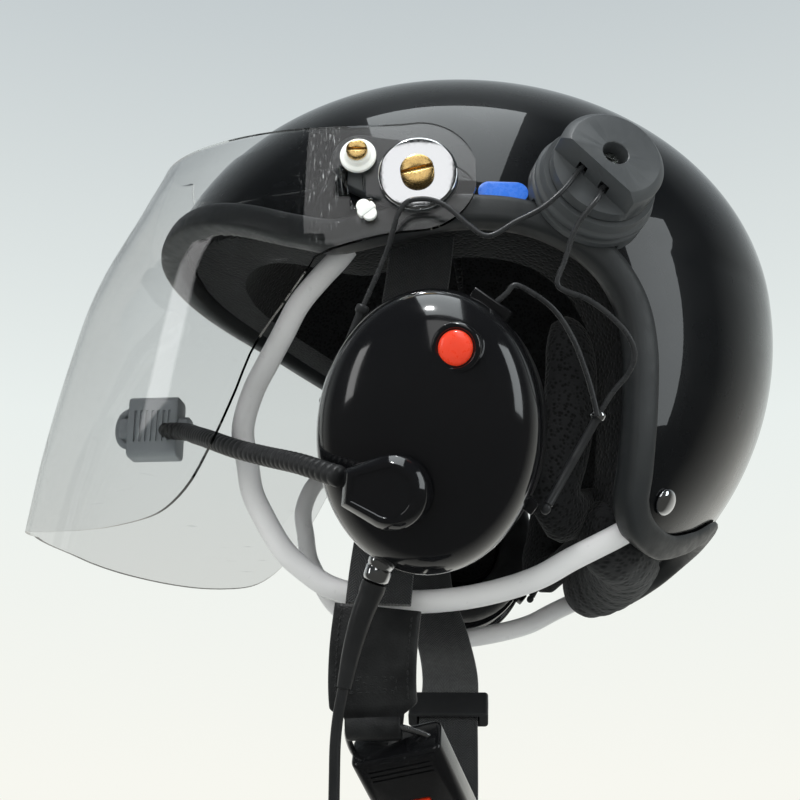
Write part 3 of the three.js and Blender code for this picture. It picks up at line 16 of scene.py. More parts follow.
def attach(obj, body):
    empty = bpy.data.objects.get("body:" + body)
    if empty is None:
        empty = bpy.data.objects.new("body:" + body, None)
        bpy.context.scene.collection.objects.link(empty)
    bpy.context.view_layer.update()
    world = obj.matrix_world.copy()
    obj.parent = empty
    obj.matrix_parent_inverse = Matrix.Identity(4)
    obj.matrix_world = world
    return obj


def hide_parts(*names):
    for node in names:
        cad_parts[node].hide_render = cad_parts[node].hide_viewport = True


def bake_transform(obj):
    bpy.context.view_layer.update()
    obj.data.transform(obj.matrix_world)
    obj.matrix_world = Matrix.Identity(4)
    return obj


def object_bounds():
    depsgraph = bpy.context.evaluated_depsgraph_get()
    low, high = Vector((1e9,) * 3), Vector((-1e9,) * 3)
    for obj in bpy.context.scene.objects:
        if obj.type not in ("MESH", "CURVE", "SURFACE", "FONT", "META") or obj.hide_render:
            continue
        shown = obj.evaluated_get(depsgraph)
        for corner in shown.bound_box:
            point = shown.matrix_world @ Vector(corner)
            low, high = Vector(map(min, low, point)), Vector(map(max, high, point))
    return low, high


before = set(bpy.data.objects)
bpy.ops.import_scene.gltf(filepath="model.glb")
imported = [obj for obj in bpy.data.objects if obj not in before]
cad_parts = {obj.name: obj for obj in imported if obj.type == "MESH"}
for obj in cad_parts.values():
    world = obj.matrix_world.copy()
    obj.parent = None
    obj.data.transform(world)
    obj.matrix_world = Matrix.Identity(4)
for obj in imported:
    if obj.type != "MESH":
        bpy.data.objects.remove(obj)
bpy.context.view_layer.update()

# %% [markdown]
# The sizes of the real helmet are easiest to read in millimetres, measured from the middle between
# the temples. Blender works in metres from the point where the crown of the head touches the
# padding, so one small function carries every point across.

# %% Units
MM = 0.001
CROWN = 116.5
LINER_DEPTH = 38.0
HALF_WIDTH = 120.0
FRONT = 140.0
REAR = 146.0
OUTWARD = np.array([1.0, 0.0, 0.0])
REARWARD = np.array([0.0, 1.0, 0.0])
UPWARD = np.array([0.0, 0.0, 1.0])


def to_row(points):
    """Carry points from millimetres round the temples to Blender's metres."""
    return (np.asarray(points, float) - UPWARD * (CROWN - LINER_DEPTH)) * MM


def spots(shares):
    """Points given as shares of the shell's half width, front reach and crown, in millimetres."""
    return np.asarray(shares, float) * (HALF_WIDTH, FRONT, CROWN)


def unit(vector):
    vector = np.asarray(vector, float)
    return vector / np.linalg.norm(vector)


print("half width, front, rear and crown in millimetres", HALF_WIDTH, FRONT, REAR, CROWN)

# %% [markdown]
# The camera comes first. It looks a little up at the helmet from the wearer's left, as the
# photograph does, through a lens like a short telephoto. A camera can be placed by eye, but a round
# helmet has few straight lines to judge by, so this place was worked out from the outline of the
# shell and the corners of the visor.

# %% Camera
CAMERA_AT = Vector((0.5305, 0.0182, -0.2765))
CAMERA_TARGET = Vector((0.0, -0.0236, -0.1087))
PICTURE_HALF = 400
FOCAL_PIXELS = 1200


def in_scene(name, data):
    """A new object that shows this mesh, lamp or camera."""
    made = bpy.data.objects.new(name, data)
    bpy.context.scene.collection.objects.link(made)
    return made


camera = in_scene("camera", bpy.data.cameras.new("camera"))
camera.location = CAMERA_AT
camera.rotation_euler = (CAMERA_TARGET - CAMERA_AT).to_track_quat("-Z", "Y").to_euler()
camera.data.angle = 2 * math.atan(PICTURE_HALF / FOCAL_PIXELS)
camera.data.clip_start = 0.02
bpy.context.scene.camera = camera
print("view angle in degrees", round(math.degrees(camera.data.angle), 1))

# %% [markdown]
# Wires, straps and the visor's rim are lines drawn through a few points. Blender has curve objects
# for that, but their handles would have to be set one by one. A centripetal Catmull-Rom curve passes
# through every point without overshooting, and walking it evenly gives rings of even spacing.

# %% Smooth curves
LEAST_STEP = 1e-6
CURVE_STEPS = 24


def catmull(points):
    """Dense points of a centripetal curve through the given ones."""
    points = np.asarray(points, float)
    padded = np.vstack([2 * points[0] - points[1], points, 2 * points[-1] - points[-2]])
    dense = []
    for p0, p1, p2, p3 in zip(padded, padded[1:], padded[2:], padded[3:]):
        steps = [np.linalg.norm(b - a) for a, b in ((p0, p1), (p1, p2), (p2, p3))]
        t = np.cumsum([0] + [max(step, LEAST_STEP) ** 0.5 for step in steps])
        for s in np.linspace(t[1], t[2], CURVE_STEPS, endpoint=False):
            a1 = (p0 * (t[1] - s) + p1 * s) / t[1]
            a2 = (p1 * (t[2] - s) + p2 * (s - t[1])) / (t[2] - t[1])
            a3 = (p2 * (t[3] - s) + p3 * (s - t[2])) / (t[3] - t[2])
            b1 = (a1 * (t[2] - s) + a2 * s) / t[2]
            b2 = (a2 * (t[3] - s) + a3 * (s - t[1])) / (t[3] - t[1])
            dense.append((b1 * (t[2] - s) + b2 * (s - t[1])) / (t[2] - t[1]))
    dense.append(points[-1])
    return np.array(dense)


def walk(points, count):
    """Evenly spaced points along a dense line."""
    along = np.concatenate([[0], np.cumsum(np.linalg.norm(np.diff(points, axis=0), axis=1))])
    stations = np.linspace(0, along[-1], count)
    return np.stack([np.interp(stations, along, points[:, k]) for k in range(points.shape[1])], axis=1)


def smooth(points, count):
    return walk(catmull(points), count)


def length_of(points):
    return float(np.linalg.norm(np.diff(points, axis=0), axis=1).sum())


def smooth_graph(table):
    """A smooth function through a table of places and values."""
    dense = catmull(np.asarray(table, float))
    return lambda at: np.interp(at, dense[:, 0], dense[:, 1])


# %% [markdown]
# Almost everything on a helmet is a skin over rings of points: a tube, a strap, a turned screw or a
# dome. It could be built by hand from Blender's own shapes, but then every size would sit in the
# scene and not in the text. Here one function lays quads between rings, and another turns the result
# into an object that rides on its body and takes the place of the plain CAD solid.

# %% Meshes from rings
WELD = 1e-6


def ring_faces(rows, sides, looped=False):
    faces = []
    for i in range(rows if looped else rows - 1):
        near, far = i * sides, ((i + 1) % rows) * sides
        for j in range(sides):
            k = (j + 1) % sides
            faces.append((near + j, near + k, far + k, far + j))
    return faces


def make_piece(name, points, faces, sharp):
    """An object from points in millimetres. Edges that turn by more than sharp degrees look sharp."""
    mesh = bpy.data.meshes.new(name)
    mesh.from_pydata([tuple(p) for p in to_row(points)], [], faces)
    work = bmesh.new()
    work.from_mesh(mesh)
    bmesh.ops.remove_doubles(work, verts=work.verts, dist=WELD)
    bmesh.ops.recalc_face_normals(work, faces=work.faces)
    work.to_mesh(mesh)
    work.free()
    mesh.polygons.foreach_set("use_smooth", [True] * len(mesh.polygons))
    return sharpen(in_scene(name, mesh), sharp)


def sharpen(piece, angle=35):
    piece.data.set_sharp_from_angle(angle=math.radians(angle))
    return piece


def closed_skin(name, rings, sharp, looped=False):
    """A skin over a stack of rings, its ends closed by flat caps."""
    rings = np.asarray(rings, float)
    rows, sides = rings.shape[:2]
    faces = ring_faces(rows, sides, looped)
    if not looped:
        faces += [tuple(range(sides))[::-1], tuple(range((rows - 1) * sides, rows * sides))]
    return make_piece(name, rings.reshape(-1, 3), faces, sharp)


def settle(piece):
    """Make a piece's modifiers part of its mesh."""
    graph = bpy.context.evaluated_depsgraph_get()
    mesh = bpy.data.meshes.new_from_object(piece.evaluated_get(graph))
    piece.modifiers.clear()
    piece.data = mesh
    return piece


def soften(piece, width, segments, angle=30):
    """Round the sharp edges, as a mould does."""
    bevel = piece.modifiers.new("round", "BEVEL")
    bevel.width = width * MM
    bevel.segments = segments
    bevel.limit_method = "ANGLE"
    bevel.angle_limit = math.radians(angle)
    bevel.harden_normals = False
    return sharpen(settle(piece))


def carve(piece, *cutters):
    """Cut other solids out of a piece, and throw them away."""
    for cutter in cutters:
        modifier = piece.modifiers.new("cut", "BOOLEAN")
        modifier.operation = "DIFFERENCE"
        modifier.solver = "EXACT"
        modifier.object = cutter
        settle(piece)
        bpy.data.objects.remove(cutter)
    return piece


def join(name, pieces):
    """Several shapes as the parts of one object."""
    work = bmesh.new()
    for piece in pieces:
        work.from_mesh(piece.data)
        bpy.data.objects.remove(piece)
    mesh = bpy.data.meshes.new(name)
    work.to_mesh(mesh)
    work.free()
    return in_scene(name, mesh)


def flip_side(piece):
    """Turn a piece for the wearer's left side into one for the right."""
    piece.data.transform(Matrix.Diagonal((-1, 1, 1, 1)))
    piece.data.flip_normals()
    return piece


def dress(piece, body, slot, finish, *nodes):
    """Hang a piece on its body, with its finish, in place of its CAD solids.

    A body of None is left to a blend."""
    piece.data.materials.clear()
    piece.data.materials.append(finish)
    if body:
        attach(piece, body)
    if nodes:
        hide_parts(*nodes)
    return piece


def dress_pair(piece, name, bodies, slot, finish, node=None):
    """Dress a left piece called NAME_left and its mirrored copy NAME_right."""
    piece.name = name + "_left"
    other = flip_side(in_scene(name + "_right", piece.data.copy()))
    for made, side, body in ((piece, "left", bodies[0]), (other, "right", bodies[1])):
        dress(made, body, slot, finish, *([f"{node}_{side}"] if node else []))
    return piece, other


SHELL_PAIR = ("shell", "shell")
YOKE_PAIR = ("left_yoke", "right_yoke")
CUP_PAIR = ("left_cup", "right_cup")
print("pairs ride on", SHELL_PAIR + YOKE_PAIR + CUP_PAIR)

# %% [markdown]
# A screw, a knob or a tube is simplest to draw round its own axis. Blender could then turn and move
# the object, but an object here stays at the origin, so its points are moved instead. A local frame
# is a 4 by 4 array: three directions and an origin, with Z along the part's own axis.

# %% Frames, turned parts, tubes and bands
ON_AXIS = 1e-4


def frame_at(origin, axis, side):
    z = unit(axis)
    y = unit(np.cross(z, side))
    place = np.eye(4)
    place[:3, :4] = np.column_stack([np.cross(y, z), y, z, np.asarray(origin, float)])
    return place


def moved(place, x=0.0, y=0.0, z=0.0, turn=0.0):
    """A frame shifted and turned within another one."""
    shift = np.eye(4)
    c, s = math.cos(turn), math.sin(turn)
    shift[:2, :2] = [[c, -s], [s, c]]
    shift[:3, 3] = (x, y, z)
    return place @ shift


def carry(place, points):
    points = np.asarray(points, float)
    return points @ place[:3, :3].T + place[:3, 3]


def circle(radius, sides):
    angles = np.linspace(0, 2 * math.pi, sides, endpoint=False)
    return np.column_stack([radius * np.cos(angles), radius * np.sin(angles)])


def turned(name, profile, place, segments, sharp=35):
    """A lathe piece: profile points are radius and height, and the axis is the frame's Z."""
    radii, heights = np.asarray(profile, float).T
    rings = [
        np.column_stack([circle(max(r, ON_AXIS), segments), np.full(segments, h)])
        for r, h in zip(radii, heights)
    ]
    return closed_skin(name, [carry(place, ring) for ring in rings], sharp=sharp)


def block(name, size, place):
    x, y, z = np.asarray(size, float) / 2
    ring = np.array([(-x, -y), (x, -y), (x, y), (-x, y)])
    rings = [np.column_stack([ring, np.full(4, h)]) for h in (-z, z)]
    return closed_skin(name, [carry(place, r) for r in rings], sharp=30)


def carried_frames(points, side):
    """Directions across and up, carried along a line without twist."""
    frames = []
    across = np.asarray(side, float)
    last = len(points) - 1
    for i in range(last + 1):
        along = unit(points[min(i + 1, last)] - points[max(i - 1, 0)])
        across = unit(across - along * across.dot(along))
        frames.append((across, np.cross(along, across)))
    return frames


def tube_rings(points, radius, sides, side=None):
    along = unit(points[1] - points[0])
    side = side if side is not None else (OUTWARD if abs(along[0]) < 0.7 else REARWARD)
    radii = np.broadcast_to(radius, len(points))
    ring = circle(1, sides)
    return [
        p + r * (ring[:, :1] * across + ring[:, 1:] * up)
        for p, r, (across, up) in zip(points, radii, carried_frames(points, side))
    ]


def tube(name, points, radius, sides):
    return closed_skin(name, tube_rings(np.asarray(points), radius, sides), sharp=35)


def band_frames(points):
    """Frames whose width stays as near as it can to the front-to-rear direction."""
    last = len(points) - 1
    frames = []
    for i in range(last + 1):
        along = unit(points[min(i + 1, last)] - points[max(i - 1, 0)])
        width = unit(REARWARD - along * along[1])
        frames.append((np.cross(width, along), width))
    return frames


def band(name, points, section):
    """A strap: the section's points are its thickness and its width."""
    rings = []
    for i, (p, (across, width)) in enumerate(zip(points, band_frames(points))):
        flat = section(i / (len(points) - 1))
        rings.append(p + flat[:, :1] * across + flat[:, 1:] * width)
    return closed_skin(name, rings, sharp=40)


# %% [markdown]
# Nothing real has one flat colour: even a new helmet shows fine grain, faint smears and dust. Painted
# images could carry that, but they need unwrapped surfaces and blur close up. So each finish is a
# Principled shader with a few texture nodes, starts from the same helpers and gets what only it has.


# %% Finishes: the tools
def new_finish(name, color, roughness, metallic=0.0, sockets=None):
    material = bpy.data.materials.new(name)
    material.use_nodes = True
    shader = material.node_tree.nodes["Principled BSDF"]
    shader.inputs["Base Color"].default_value = (*color, 1)
    shader.inputs["Roughness"].default_value = roughness
    shader.inputs["Metallic"].default_value = metallic
    for socket, value in (sockets or {}).items():
        shader.inputs[socket].default_value = value
    return material


def shader_of(material):
    return material.node_tree.nodes["Principled BSDF"]


def add_node(material, kind, inputs=None, **settings):
    node = material.node_tree.nodes.new(kind)
    for setting, value in settings.items():
        setattr(node, setting, value)
    for socket, value in (inputs or {}).items():
        if isinstance(value, bpy.types.NodeSocket):
            material.node_tree.links.new(value, node.inputs[socket])
        else:
            node.inputs[socket].default_value = value
    return node


def link(material, output, socket):
    material.node_tree.links.new(output, shader_of(material).inputs[socket])


def place_of(material, kind="Object"):
    return add_node(material, "ShaderNodeTexCoord").outputs[kind]


def noise(material, scale, detail, where=None):
    inputs = {"Scale": scale, "Detail": detail, "Vector": where or place_of(material)}
    return add_node(material, "ShaderNodeTexNoise", inputs).outputs["Fac"]


def cells(material, scale, where=None):
    inputs = {"Scale": scale, "Vector": where or place_of(material)}
    return add_node(material, "ShaderNodeTexVoronoi", inputs).outputs["Distance"]


def stretched(material, where, scale):
    """The same place with its three axes scaled, to draw a pattern out."""
    return add_node(material, "ShaderNodeMapping", {"Vector": where, "Scale": scale}).outputs[0]


def between(material, value, low, high, out_low=0.0, out_high=1.0):
    inputs = {"Value": value, "From Min": low, "From Max": high, "To Min": out_low, "To Max": out_high}
    return add_node(material, "ShaderNodeMapRange", inputs).outputs["Result"]


def maths(material, operation, a, b=0.0):
    return add_node(material, "ShaderNodeMath", {0: a, 1: b}, operation=operation).outputs[0]


def mottle(material, factor, a, b):
    """A colour that goes from a to b as the factor rises. Inputs 6 and 7 are the node's two colours."""
    mix = add_node(material, "ShaderNodeMix", {0: factor, 6: (*a, 1), 7: (*b, 1)}, data_type="RGBA")
    link(material, mix.outputs[2], "Base Color")


def uneven_roughness(material, value, low, high):
    link(material, between(material, value, 0.3, 0.7, low, high), "Roughness")


def in_patches(material, grain_scale, detail, low, high, most, patch_scale):
    """Fine specks that show only inside wide, soft patches."""
    specks = between(material, noise(material, grain_scale, detail), low, high, 0.0, most)
    patches = between(material, noise(material, patch_scale, 3), 0.45, 0.7)
    return maths(material, "MULTIPLY", specks, patches)


def add_bump(material, height, depth):
    """Relief of this depth in millimetres, added to what is there already."""
    inputs = {"Height": height, "Distance": depth * MM}
    previous = shader_of(material).inputs["Normal"].links
    if previous:
        inputs["Normal"] = previous[0].from_socket
    link(material, add_node(material, "ShaderNodeBump", inputs).outputs["Normal"], "Normal")


def moulded(name, color, lighter, roughness, grain, depth, sockets=None):
    """Moulded plastic or rubber: a fine grain, and a slow change of colour and shine."""
    material = new_finish(name, color, sum(roughness) / 2, sockets=sockets)
    mottle(material, noise(material, 60, 4), color, lighter)
    uneven_roughness(material, noise(material, 240, 5), *roughness)
    add_bump(material, noise(material, grain, 2), depth)
    return material


# %% [markdown]
# The headset cable is a 4 mm rubber lead. It leaves the boot under the left cup and hangs straight
# down; the rest of its length is wound into a neat coil of six turns in two layers, just below the
# picture. It could be a Blender curve with a bevel, but a mesh tube also holds its own path. The line
# is the same one as in the CAD model, walked in finer steps.

# %% Headset cable
CABLE_RADIUS = 2.0
CABLE_ROUTE = [
    (100.0, -35.8, -167.9), (99.4, -37.5, -177), (99, -38.4, -186), (98.6, -38.6, -198),
    (98.5, -38.6, -214), (98.5, -38.6, -230),
]
COIL_TURNS = 6
COIL_PITCH = 4.7
COIL_MIDDLE = 23.5
COIL_DROP = 10.35
COIL_RADIUS = COIL_MIDDLE + COIL_PITCH * (COIL_TURNS - 1) / 4
COIL_CENTRE = np.array(CABLE_ROUTE[-1]) + (0, COIL_RADIUS, -COIL_DROP)
COIL_CROSSING = 0.5
STEPS_PER_TURN = 36

cable_rubber = moulded(
    "cable_rubber", (0.011, 0.011, 0.012), (0.018, 0.018, 0.019), (0.3, 0.46), 1500, 0.02,
)


def coil_line():
    """Half the turns wind inwards, the line crosses to the second layer, and the rest wind out again."""
    half = COIL_TURNS / 2
    points = []
    for i in range(COIL_TURNS * STEPS_PER_TURN + 1):
        turn = i / STEPS_PER_TURN
        radius = COIL_RADIUS - COIL_PITCH * min(turn, COIL_TURNS - turn)
        share = min(max((turn - half + COIL_CROSSING / 2) / COIL_CROSSING, 0), 1)
        sideways = -COIL_PITCH * share * share * (3 - 2 * share)
        angle = math.pi + 2 * math.pi * turn
        points.append(COIL_CENTRE + (sideways, radius * math.cos(angle), radius * math.sin(angle)))
    return points


coil = coil_line()
hanging = smooth(CABLE_ROUTE + [coil[0] + UPWARD * 5], 36)
tail = [coil[-1] - UPWARD * d for d in (4, 8, 12)]
cable_line = np.vstack([hanging, coil, tail])
cable = tube("headset_cable_smooth", cable_line, CABLE_RADIUS, 16)
dress(cable, None, "cable_black", cable_rubber, "headset_cable", "cable_coil")
print("cable length in metres", round(length_of(cable_line) * MM, 3))

# %% [markdown]
# A hook-and-loop tie holds the turns together. It is a flat band of cloth that goes once round both
# layers, with rounded corners where it bends. A bent plane with a thickness modifier would do, but a
# small section carried round a rounded rectangle gives soft edges and a closed form at once.


# %% Coil tie
def rounded_rectangle(half_x, half_y, radius, arc=6):
    points = []
    for sx, sy, start in ((1, 1, 0), (-1, 1, 90), (-1, -1, 180), (1, -1, 270)):
        for angle in np.radians(np.linspace(start, start + 90, arc + 1)):
            points.append((
                sx * (half_x - radius) + radius * math.cos(angle),
                sy * (half_y - radius) + radius * math.sin(angle),
            ))
    return np.array(points)


def flat_band(name, loop, place, thickness, width, rounding):
    """A closed band of cloth or plastic round a loop drawn in the frame's XY plane."""
    loop = np.asarray(loop, float)
    ahead, behind = np.roll(loop, -1, axis=0), np.roll(loop, 1, axis=0)
    along = (ahead - behind) / np.linalg.norm(ahead - behind, axis=1)[:, None]
    outward = np.column_stack([along[:, 1], -along[:, 0]])
    section = rounded_rectangle(thickness / 2, width / 2, rounding, 2)
    rings = []
    for p, out in zip(loop, outward):
        ring = [(*(p + out * (q[0] + thickness / 2)), q[1]) for q in section]
        rings.append(carry(place, ring))
    return closed_skin(name, rings, looped=True, sharp=40)


TIE_THICKNESS = 1.2
TIE_WIDTH = 8.0
TIE_ROUNDING = 0.3
TIE_LOOP = rounded_rectangle(4.7, 9.575, 2.4)
TIE_MIDDLE = COIL_CENTRE + (-COIL_PITCH / 2, 0, COIL_MIDDLE - COIL_PITCH * 0.12)
tie_cloth = moulded("tie_cloth", (0.012, 0.012, 0.013), (0.02, 0.02, 0.021), (0.8, 0.95), 1100, 0.12)
tie_place = frame_at(TIE_MIDDLE, -REARWARD, OUTWARD)
coil_tie = flat_band("coil_tie_band", TIE_LOOP, tie_place, TIE_THICKNESS, TIE_WIDTH, TIE_ROUNDING)
dress(coil_tie, "shell", "tie_black", tie_cloth, "coil_tie")
print("tie at", np.round(tie_place[:3, 3], 1))

# %% [markdown]
# The cable ends in a plug: a collar, a turned metal barrel with a finely pitted grip, and a stepped
# contact pin. The steps could be separate cylinders joined together. On a lathe they are one
# profile, so that is how they are drawn, and the pits of the grip are relief in the finish.

# %% Plug
PLUG_OVERLAP = 0.35
plug_metal = new_finish("plug_metal", (0.62, 0.62, 0.61), 0.3, 1.0)
uneven_roughness(plug_metal, noise(plug_metal, 400, 4), 0.2, 0.42)
add_bump(plug_metal, cells(plug_metal, 900), 0.06)

plug_profile = [
    (0, 0), (2.5, 0), (2.8, 0.6), (2.8, 6.8), (3.6, 7.4), (4.1, 8.6), (4.5, 9.4), (4.5, 13), (4.2, 13.3),
    (4.2, 14), (4.5, 14.3), (4.5, 29), (4.2, 29.3), (4.2, 30), (4.5, 30.3), (4.5, 32.4), (4.1, 33),
    (1.75, 33.2), (1.75, 38.4), (1.55, 38.6), (1.55, 39.1), (1.75, 39.3), (1.75, 43.3), (1.2, 44),
    (1.6, 45), (1.2, 46.4), (0, 47),
]
plug_place = frame_at(tail[-1] - UPWARD * PLUG_OVERLAP, -UPWARD, REARWARD)
plug = turned("plug_turned", plug_profile, plug_place, 48)
dress(plug, "shell", "plug_steel", plug_metal, "cable_plug")

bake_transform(cable)

# %% [markdown]
# Where the cable enters the cup there is a polished metal ring, and below it a tapered rubber boot
# that makes the lead bend in a long curve instead of a kink. The ring is a turned profile. The boot
# could be a cone bent by a modifier; here it is a tube along the lead's own line, whose radius falls
# smoothly after a small swell at its top.

# %% Cable ring and boot
RING_TOP = np.array((107.6, -21.3, -123.4))
RING_FOOT = np.array((105, -24.6, -131.9))
BOOT_ROUTE = [(103, -29, -142.6), (101.2, -32.7, -154.6), (100, -35.5, -167.6)]

polished = new_finish("polished_chrome", (0.86, 0.87, 0.89), 0.05, 1.0)
uneven_roughness(polished, noise(polished, 700, 5), 0.03, 0.12)
add_bump(polished, noise(polished, 300, 2), 0.01)

ring_profile = [
    (0, 0), (4.3, 0), (4.7, 0.3), (4.8, 0.8), (4.8, 2.4), (4.5, 2.7), (4.5, 3.2), (4.8, 3.5), (4.8, 6.9),
    (4.65, 7.6), (4.2, 8.3), (3.6, 8.6), (0, 8.6),
]
ring_place = frame_at(RING_TOP, RING_FOOT - RING_TOP, REARWARD)
cable_ring = turned("cable_ring_turned", ring_profile, ring_place, 64, 50)
dress(cable_ring, "left_cup", "ring_chrome", polished, "cable_ring")

RING_LENGTH = 8.95
BOOT_TOP_RADIUS = 4.4
BOOT_FOOT_RADIUS = 2.6
BOOT_SWELL = 0.25
BOOT_STEPS = 90
ring_run = unit(RING_FOOT - RING_TOP)
boot_start = RING_TOP + ring_run * RING_LENGTH
boot_line = smooth([boot_start, boot_start + ring_run * 4, *BOOT_ROUTE], BOOT_STEPS)


def boot_radius(share):
    swell = BOOT_SWELL * math.exp(-((share - 0.06) / 0.05) ** 2)
    return BOOT_TOP_RADIUS + (BOOT_FOOT_RADIUS - BOOT_TOP_RADIUS) * share ** 1.3 + swell


boot_radii = [boot_radius(share) for share in np.linspace(0, 1, BOOT_STEPS)]
boot = closed_skin("boot_tapered", tube_rings(boot_line, boot_radii, 28, OUTWARD), sharp=60)
dress(boot, None, "cable_black", cable_rubber, "cable_boot")
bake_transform(boot)
print("boot length", round(length_of(boot_line), 1))

# %% [markdown]
# The shell is laid up over a mould shaped like a round dome with a fuller skirt. It could be
# sculpted, but the trim, the foam and the label all have to lie on the same surface, so it is a
# formula: each height has a half width, a front reach and a rear reach, and a power that squares the
# plan a little.

# %% The dome's shape
TUCK_DEPTH = 120.0
TUCKS = ((HALF_WIDTH, 0.4), (FRONT, 0.3), (REAR, 0.81))


def half_sizes(z, inset=0.0):
    z = np.asarray(z, float)
    rise = np.sqrt(np.clip(1 - (z / (CROWN - inset)) ** 2, 0, None))
    depth = np.clip(-z / TUCK_DEPTH, 0, None)
    sizes = []
    for size, share in TUCKS:
        tuck = np.sqrt(1 - (share * depth) ** 2)
        sizes.append((size - inset) * np.where(z >= 0, rise, tuck))
    return (*sizes, 2 + 0.5 * np.clip(depth, 0, 1))


def plan_points(angle, z, inset):
    side, front, rear, power = half_sizes(z, inset)
    c, s = np.cos(angle), np.sin(angle)
    x = side * np.sign(c) * np.abs(c) ** (2 / power)
    y = np.where(s < 0, front, rear) * np.sign(s) * np.abs(s) ** (2 / power)
    return np.stack([x, y, np.broadcast_to(z, x.shape)], axis=-1)


def surface_x(y, z, inset=0.0):
    """How far out the left side of the dome lies at a place seen from the side."""
    side, front, rear, power = half_sizes(z, inset)
    reach = np.where(np.asarray(y) < 0, front, rear)
    return side * np.clip(1 - (np.abs(y) / reach) ** power, 0, None) ** (1 / power)


def fullness(points):
    """1 on the dome, less inside it and more outside."""
    side, front, rear, power = half_sizes(points[..., 2])
    reach = np.where(points[..., 1] < 0, front, rear)
    return (np.abs(points[..., 0]) / side) ** power + (np.abs(points[..., 1]) / reach) ** power


def surface_normals(points):
    points = np.asarray(points, float)
    slopes = [fullness(points + axis * 0.3) - fullness(points - axis * 0.3) for axis in np.eye(3)]
    normals = np.stack(slopes, axis=-1)
    return normals / np.linalg.norm(normals, axis=-1, keepdims=True)


print("half width at the temples", float(surface_x(0, 0)))

# %% [markdown]
# A real shell is trimmed along a line scribed on it. Here that edge is drawn once, as seen from the
# side: across the brow, over the ear, down the flap and up to the nape. Cutting the dome with a solid
# would leave ragged slivers, so everything that ends at the edge measures its distance from this
# line instead.

# %% The edge line
EDGE = [
    (-1.05, 1.1), (-0.83, 0.85), (-0.71, 0.69), (-0.565, 0.41), (-0.415, 0.1), (-0.285, -0.022),
    (-0.157, -0.009), (0.055, 0.11), (0.22, 0.07), (0.342, -0.035), (0.43, -0.122), (0.483, -0.243),
    (0.5, -0.383), (0.493, -0.574), (0.476, -0.783), (0.466, -0.895), (0.488, -0.972), (0.545, -1),
    (0.635, -0.957), (0.726, -0.878), (0.8, -0.82), (1.05, -0.626),
]
BROW_RISE = 34.0
FLAP_DROP = 115.0
EDGE_CHUNK = 2000
EDGE_STATIONS = 400
edge_side = catmull([
    (y * (FRONT if y < 0 else REAR), z * (BROW_RISE if z > 0 else FLAP_DROP)) for y, z in EDGE
])


def edge_distance(yz):
    """Signed distances above the edge line seen from the side, and the nearest points on it."""
    a, b = edge_side[:-1], edge_side[1:]
    run = b - a
    size = (run ** 2).sum(axis=1)
    distances, nearest = np.empty(len(yz)), np.empty((len(yz), 2))
    for start in range(0, len(yz), EDGE_CHUNK):
        part = yz[start:start + EDGE_CHUNK]
        t = np.clip(((part[:, None] - a) * run).sum(axis=2) / size, 0, 1)
        foot = a + t[..., None] * run
        gaps = np.linalg.norm(part[:, None] - foot, axis=2)
        best = gaps.argmin(axis=1)
        rows = np.arange(len(part))
        away = part - foot[rows, best]
        above = run[best, 0] * away[:, 1] - run[best, 1] * away[:, 0] > 0
        distances[start:start + EDGE_CHUNK] = np.where(above, 1, -1) * gaps[rows, best]
        nearest[start:start + EDGE_CHUNK] = foot[rows, best]
    return distances, nearest


def edge_ring():
    """The closed edge on the dome's surface, left half from brow to nape, then the right half."""
    y, z = edge_side.T
    side, front, rear, _ = half_sizes(z)
    inside = np.abs(y) < np.where(y < 0, front, rear)
    first, last = np.flatnonzero(inside)[[0, -1]]

    def crossing(outer, inner):
        outer, inner = edge_side[outer], edge_side[inner]
        for _ in range(40):
            middle = (outer + inner) / 2
            _, front, rear, _ = half_sizes(middle[1])
            beyond = abs(middle[0]) >= (front if middle[0] < 0 else rear)
            outer, inner = (middle, inner) if beyond else (outer, middle)
        return inner

    line = np.vstack([crossing(first - 1, first), edge_side[first:last + 1], crossing(last + 1, last)])
    along = np.concatenate([[0], np.cumsum(np.linalg.norm(np.diff(line, axis=0), axis=1))])
    at = along[-1] * (1 - np.cos(np.linspace(0, math.pi, 4000))) / 2
    y, z = np.interp(at, along, line[:, 0]), np.interp(at, along, line[:, 1])
    x = surface_x(y, z)
    x[[0, -1]] = 0
    half = walk(np.column_stack([x, y, z]), EDGE_STATIONS)
    return np.vstack([half, half[-2:0:-1] * (-1, 1, 1)])


def edge_rings(line, sections, looped=True):
    """Sections along a line on the dome. Their points go out of the surface and up from the edge."""
    along = np.roll(line, -1, axis=0) - np.roll(line, 1, axis=0) if looped else np.gradient(line, axis=0)
    out = surface_normals(line)
    up = np.cross(out, along)
    up /= np.linalg.norm(up, axis=1)[:, None]
    return line[:, None] + sections[..., :1] * out[:, None] + sections[..., 1:] * up[:, None]


edge_loop = edge_ring()
left_edge = edge_loop[:len(edge_loop) // 2 + 1]
print("edge length in millimetres", round(length_of(edge_loop)))

# %% [markdown]
# Shell, foam and padding are the same dome at different depths. A thickness modifier on one dome
# would do for the shell, but not for padding that folds round a border. So each layer is a grid of
# quads that stops at the edge line: its last row slides onto the line, and the border is clean.


# %% Layers of the dome
LIP_RUN = 4.0
BELOW_FLAP = 6.0


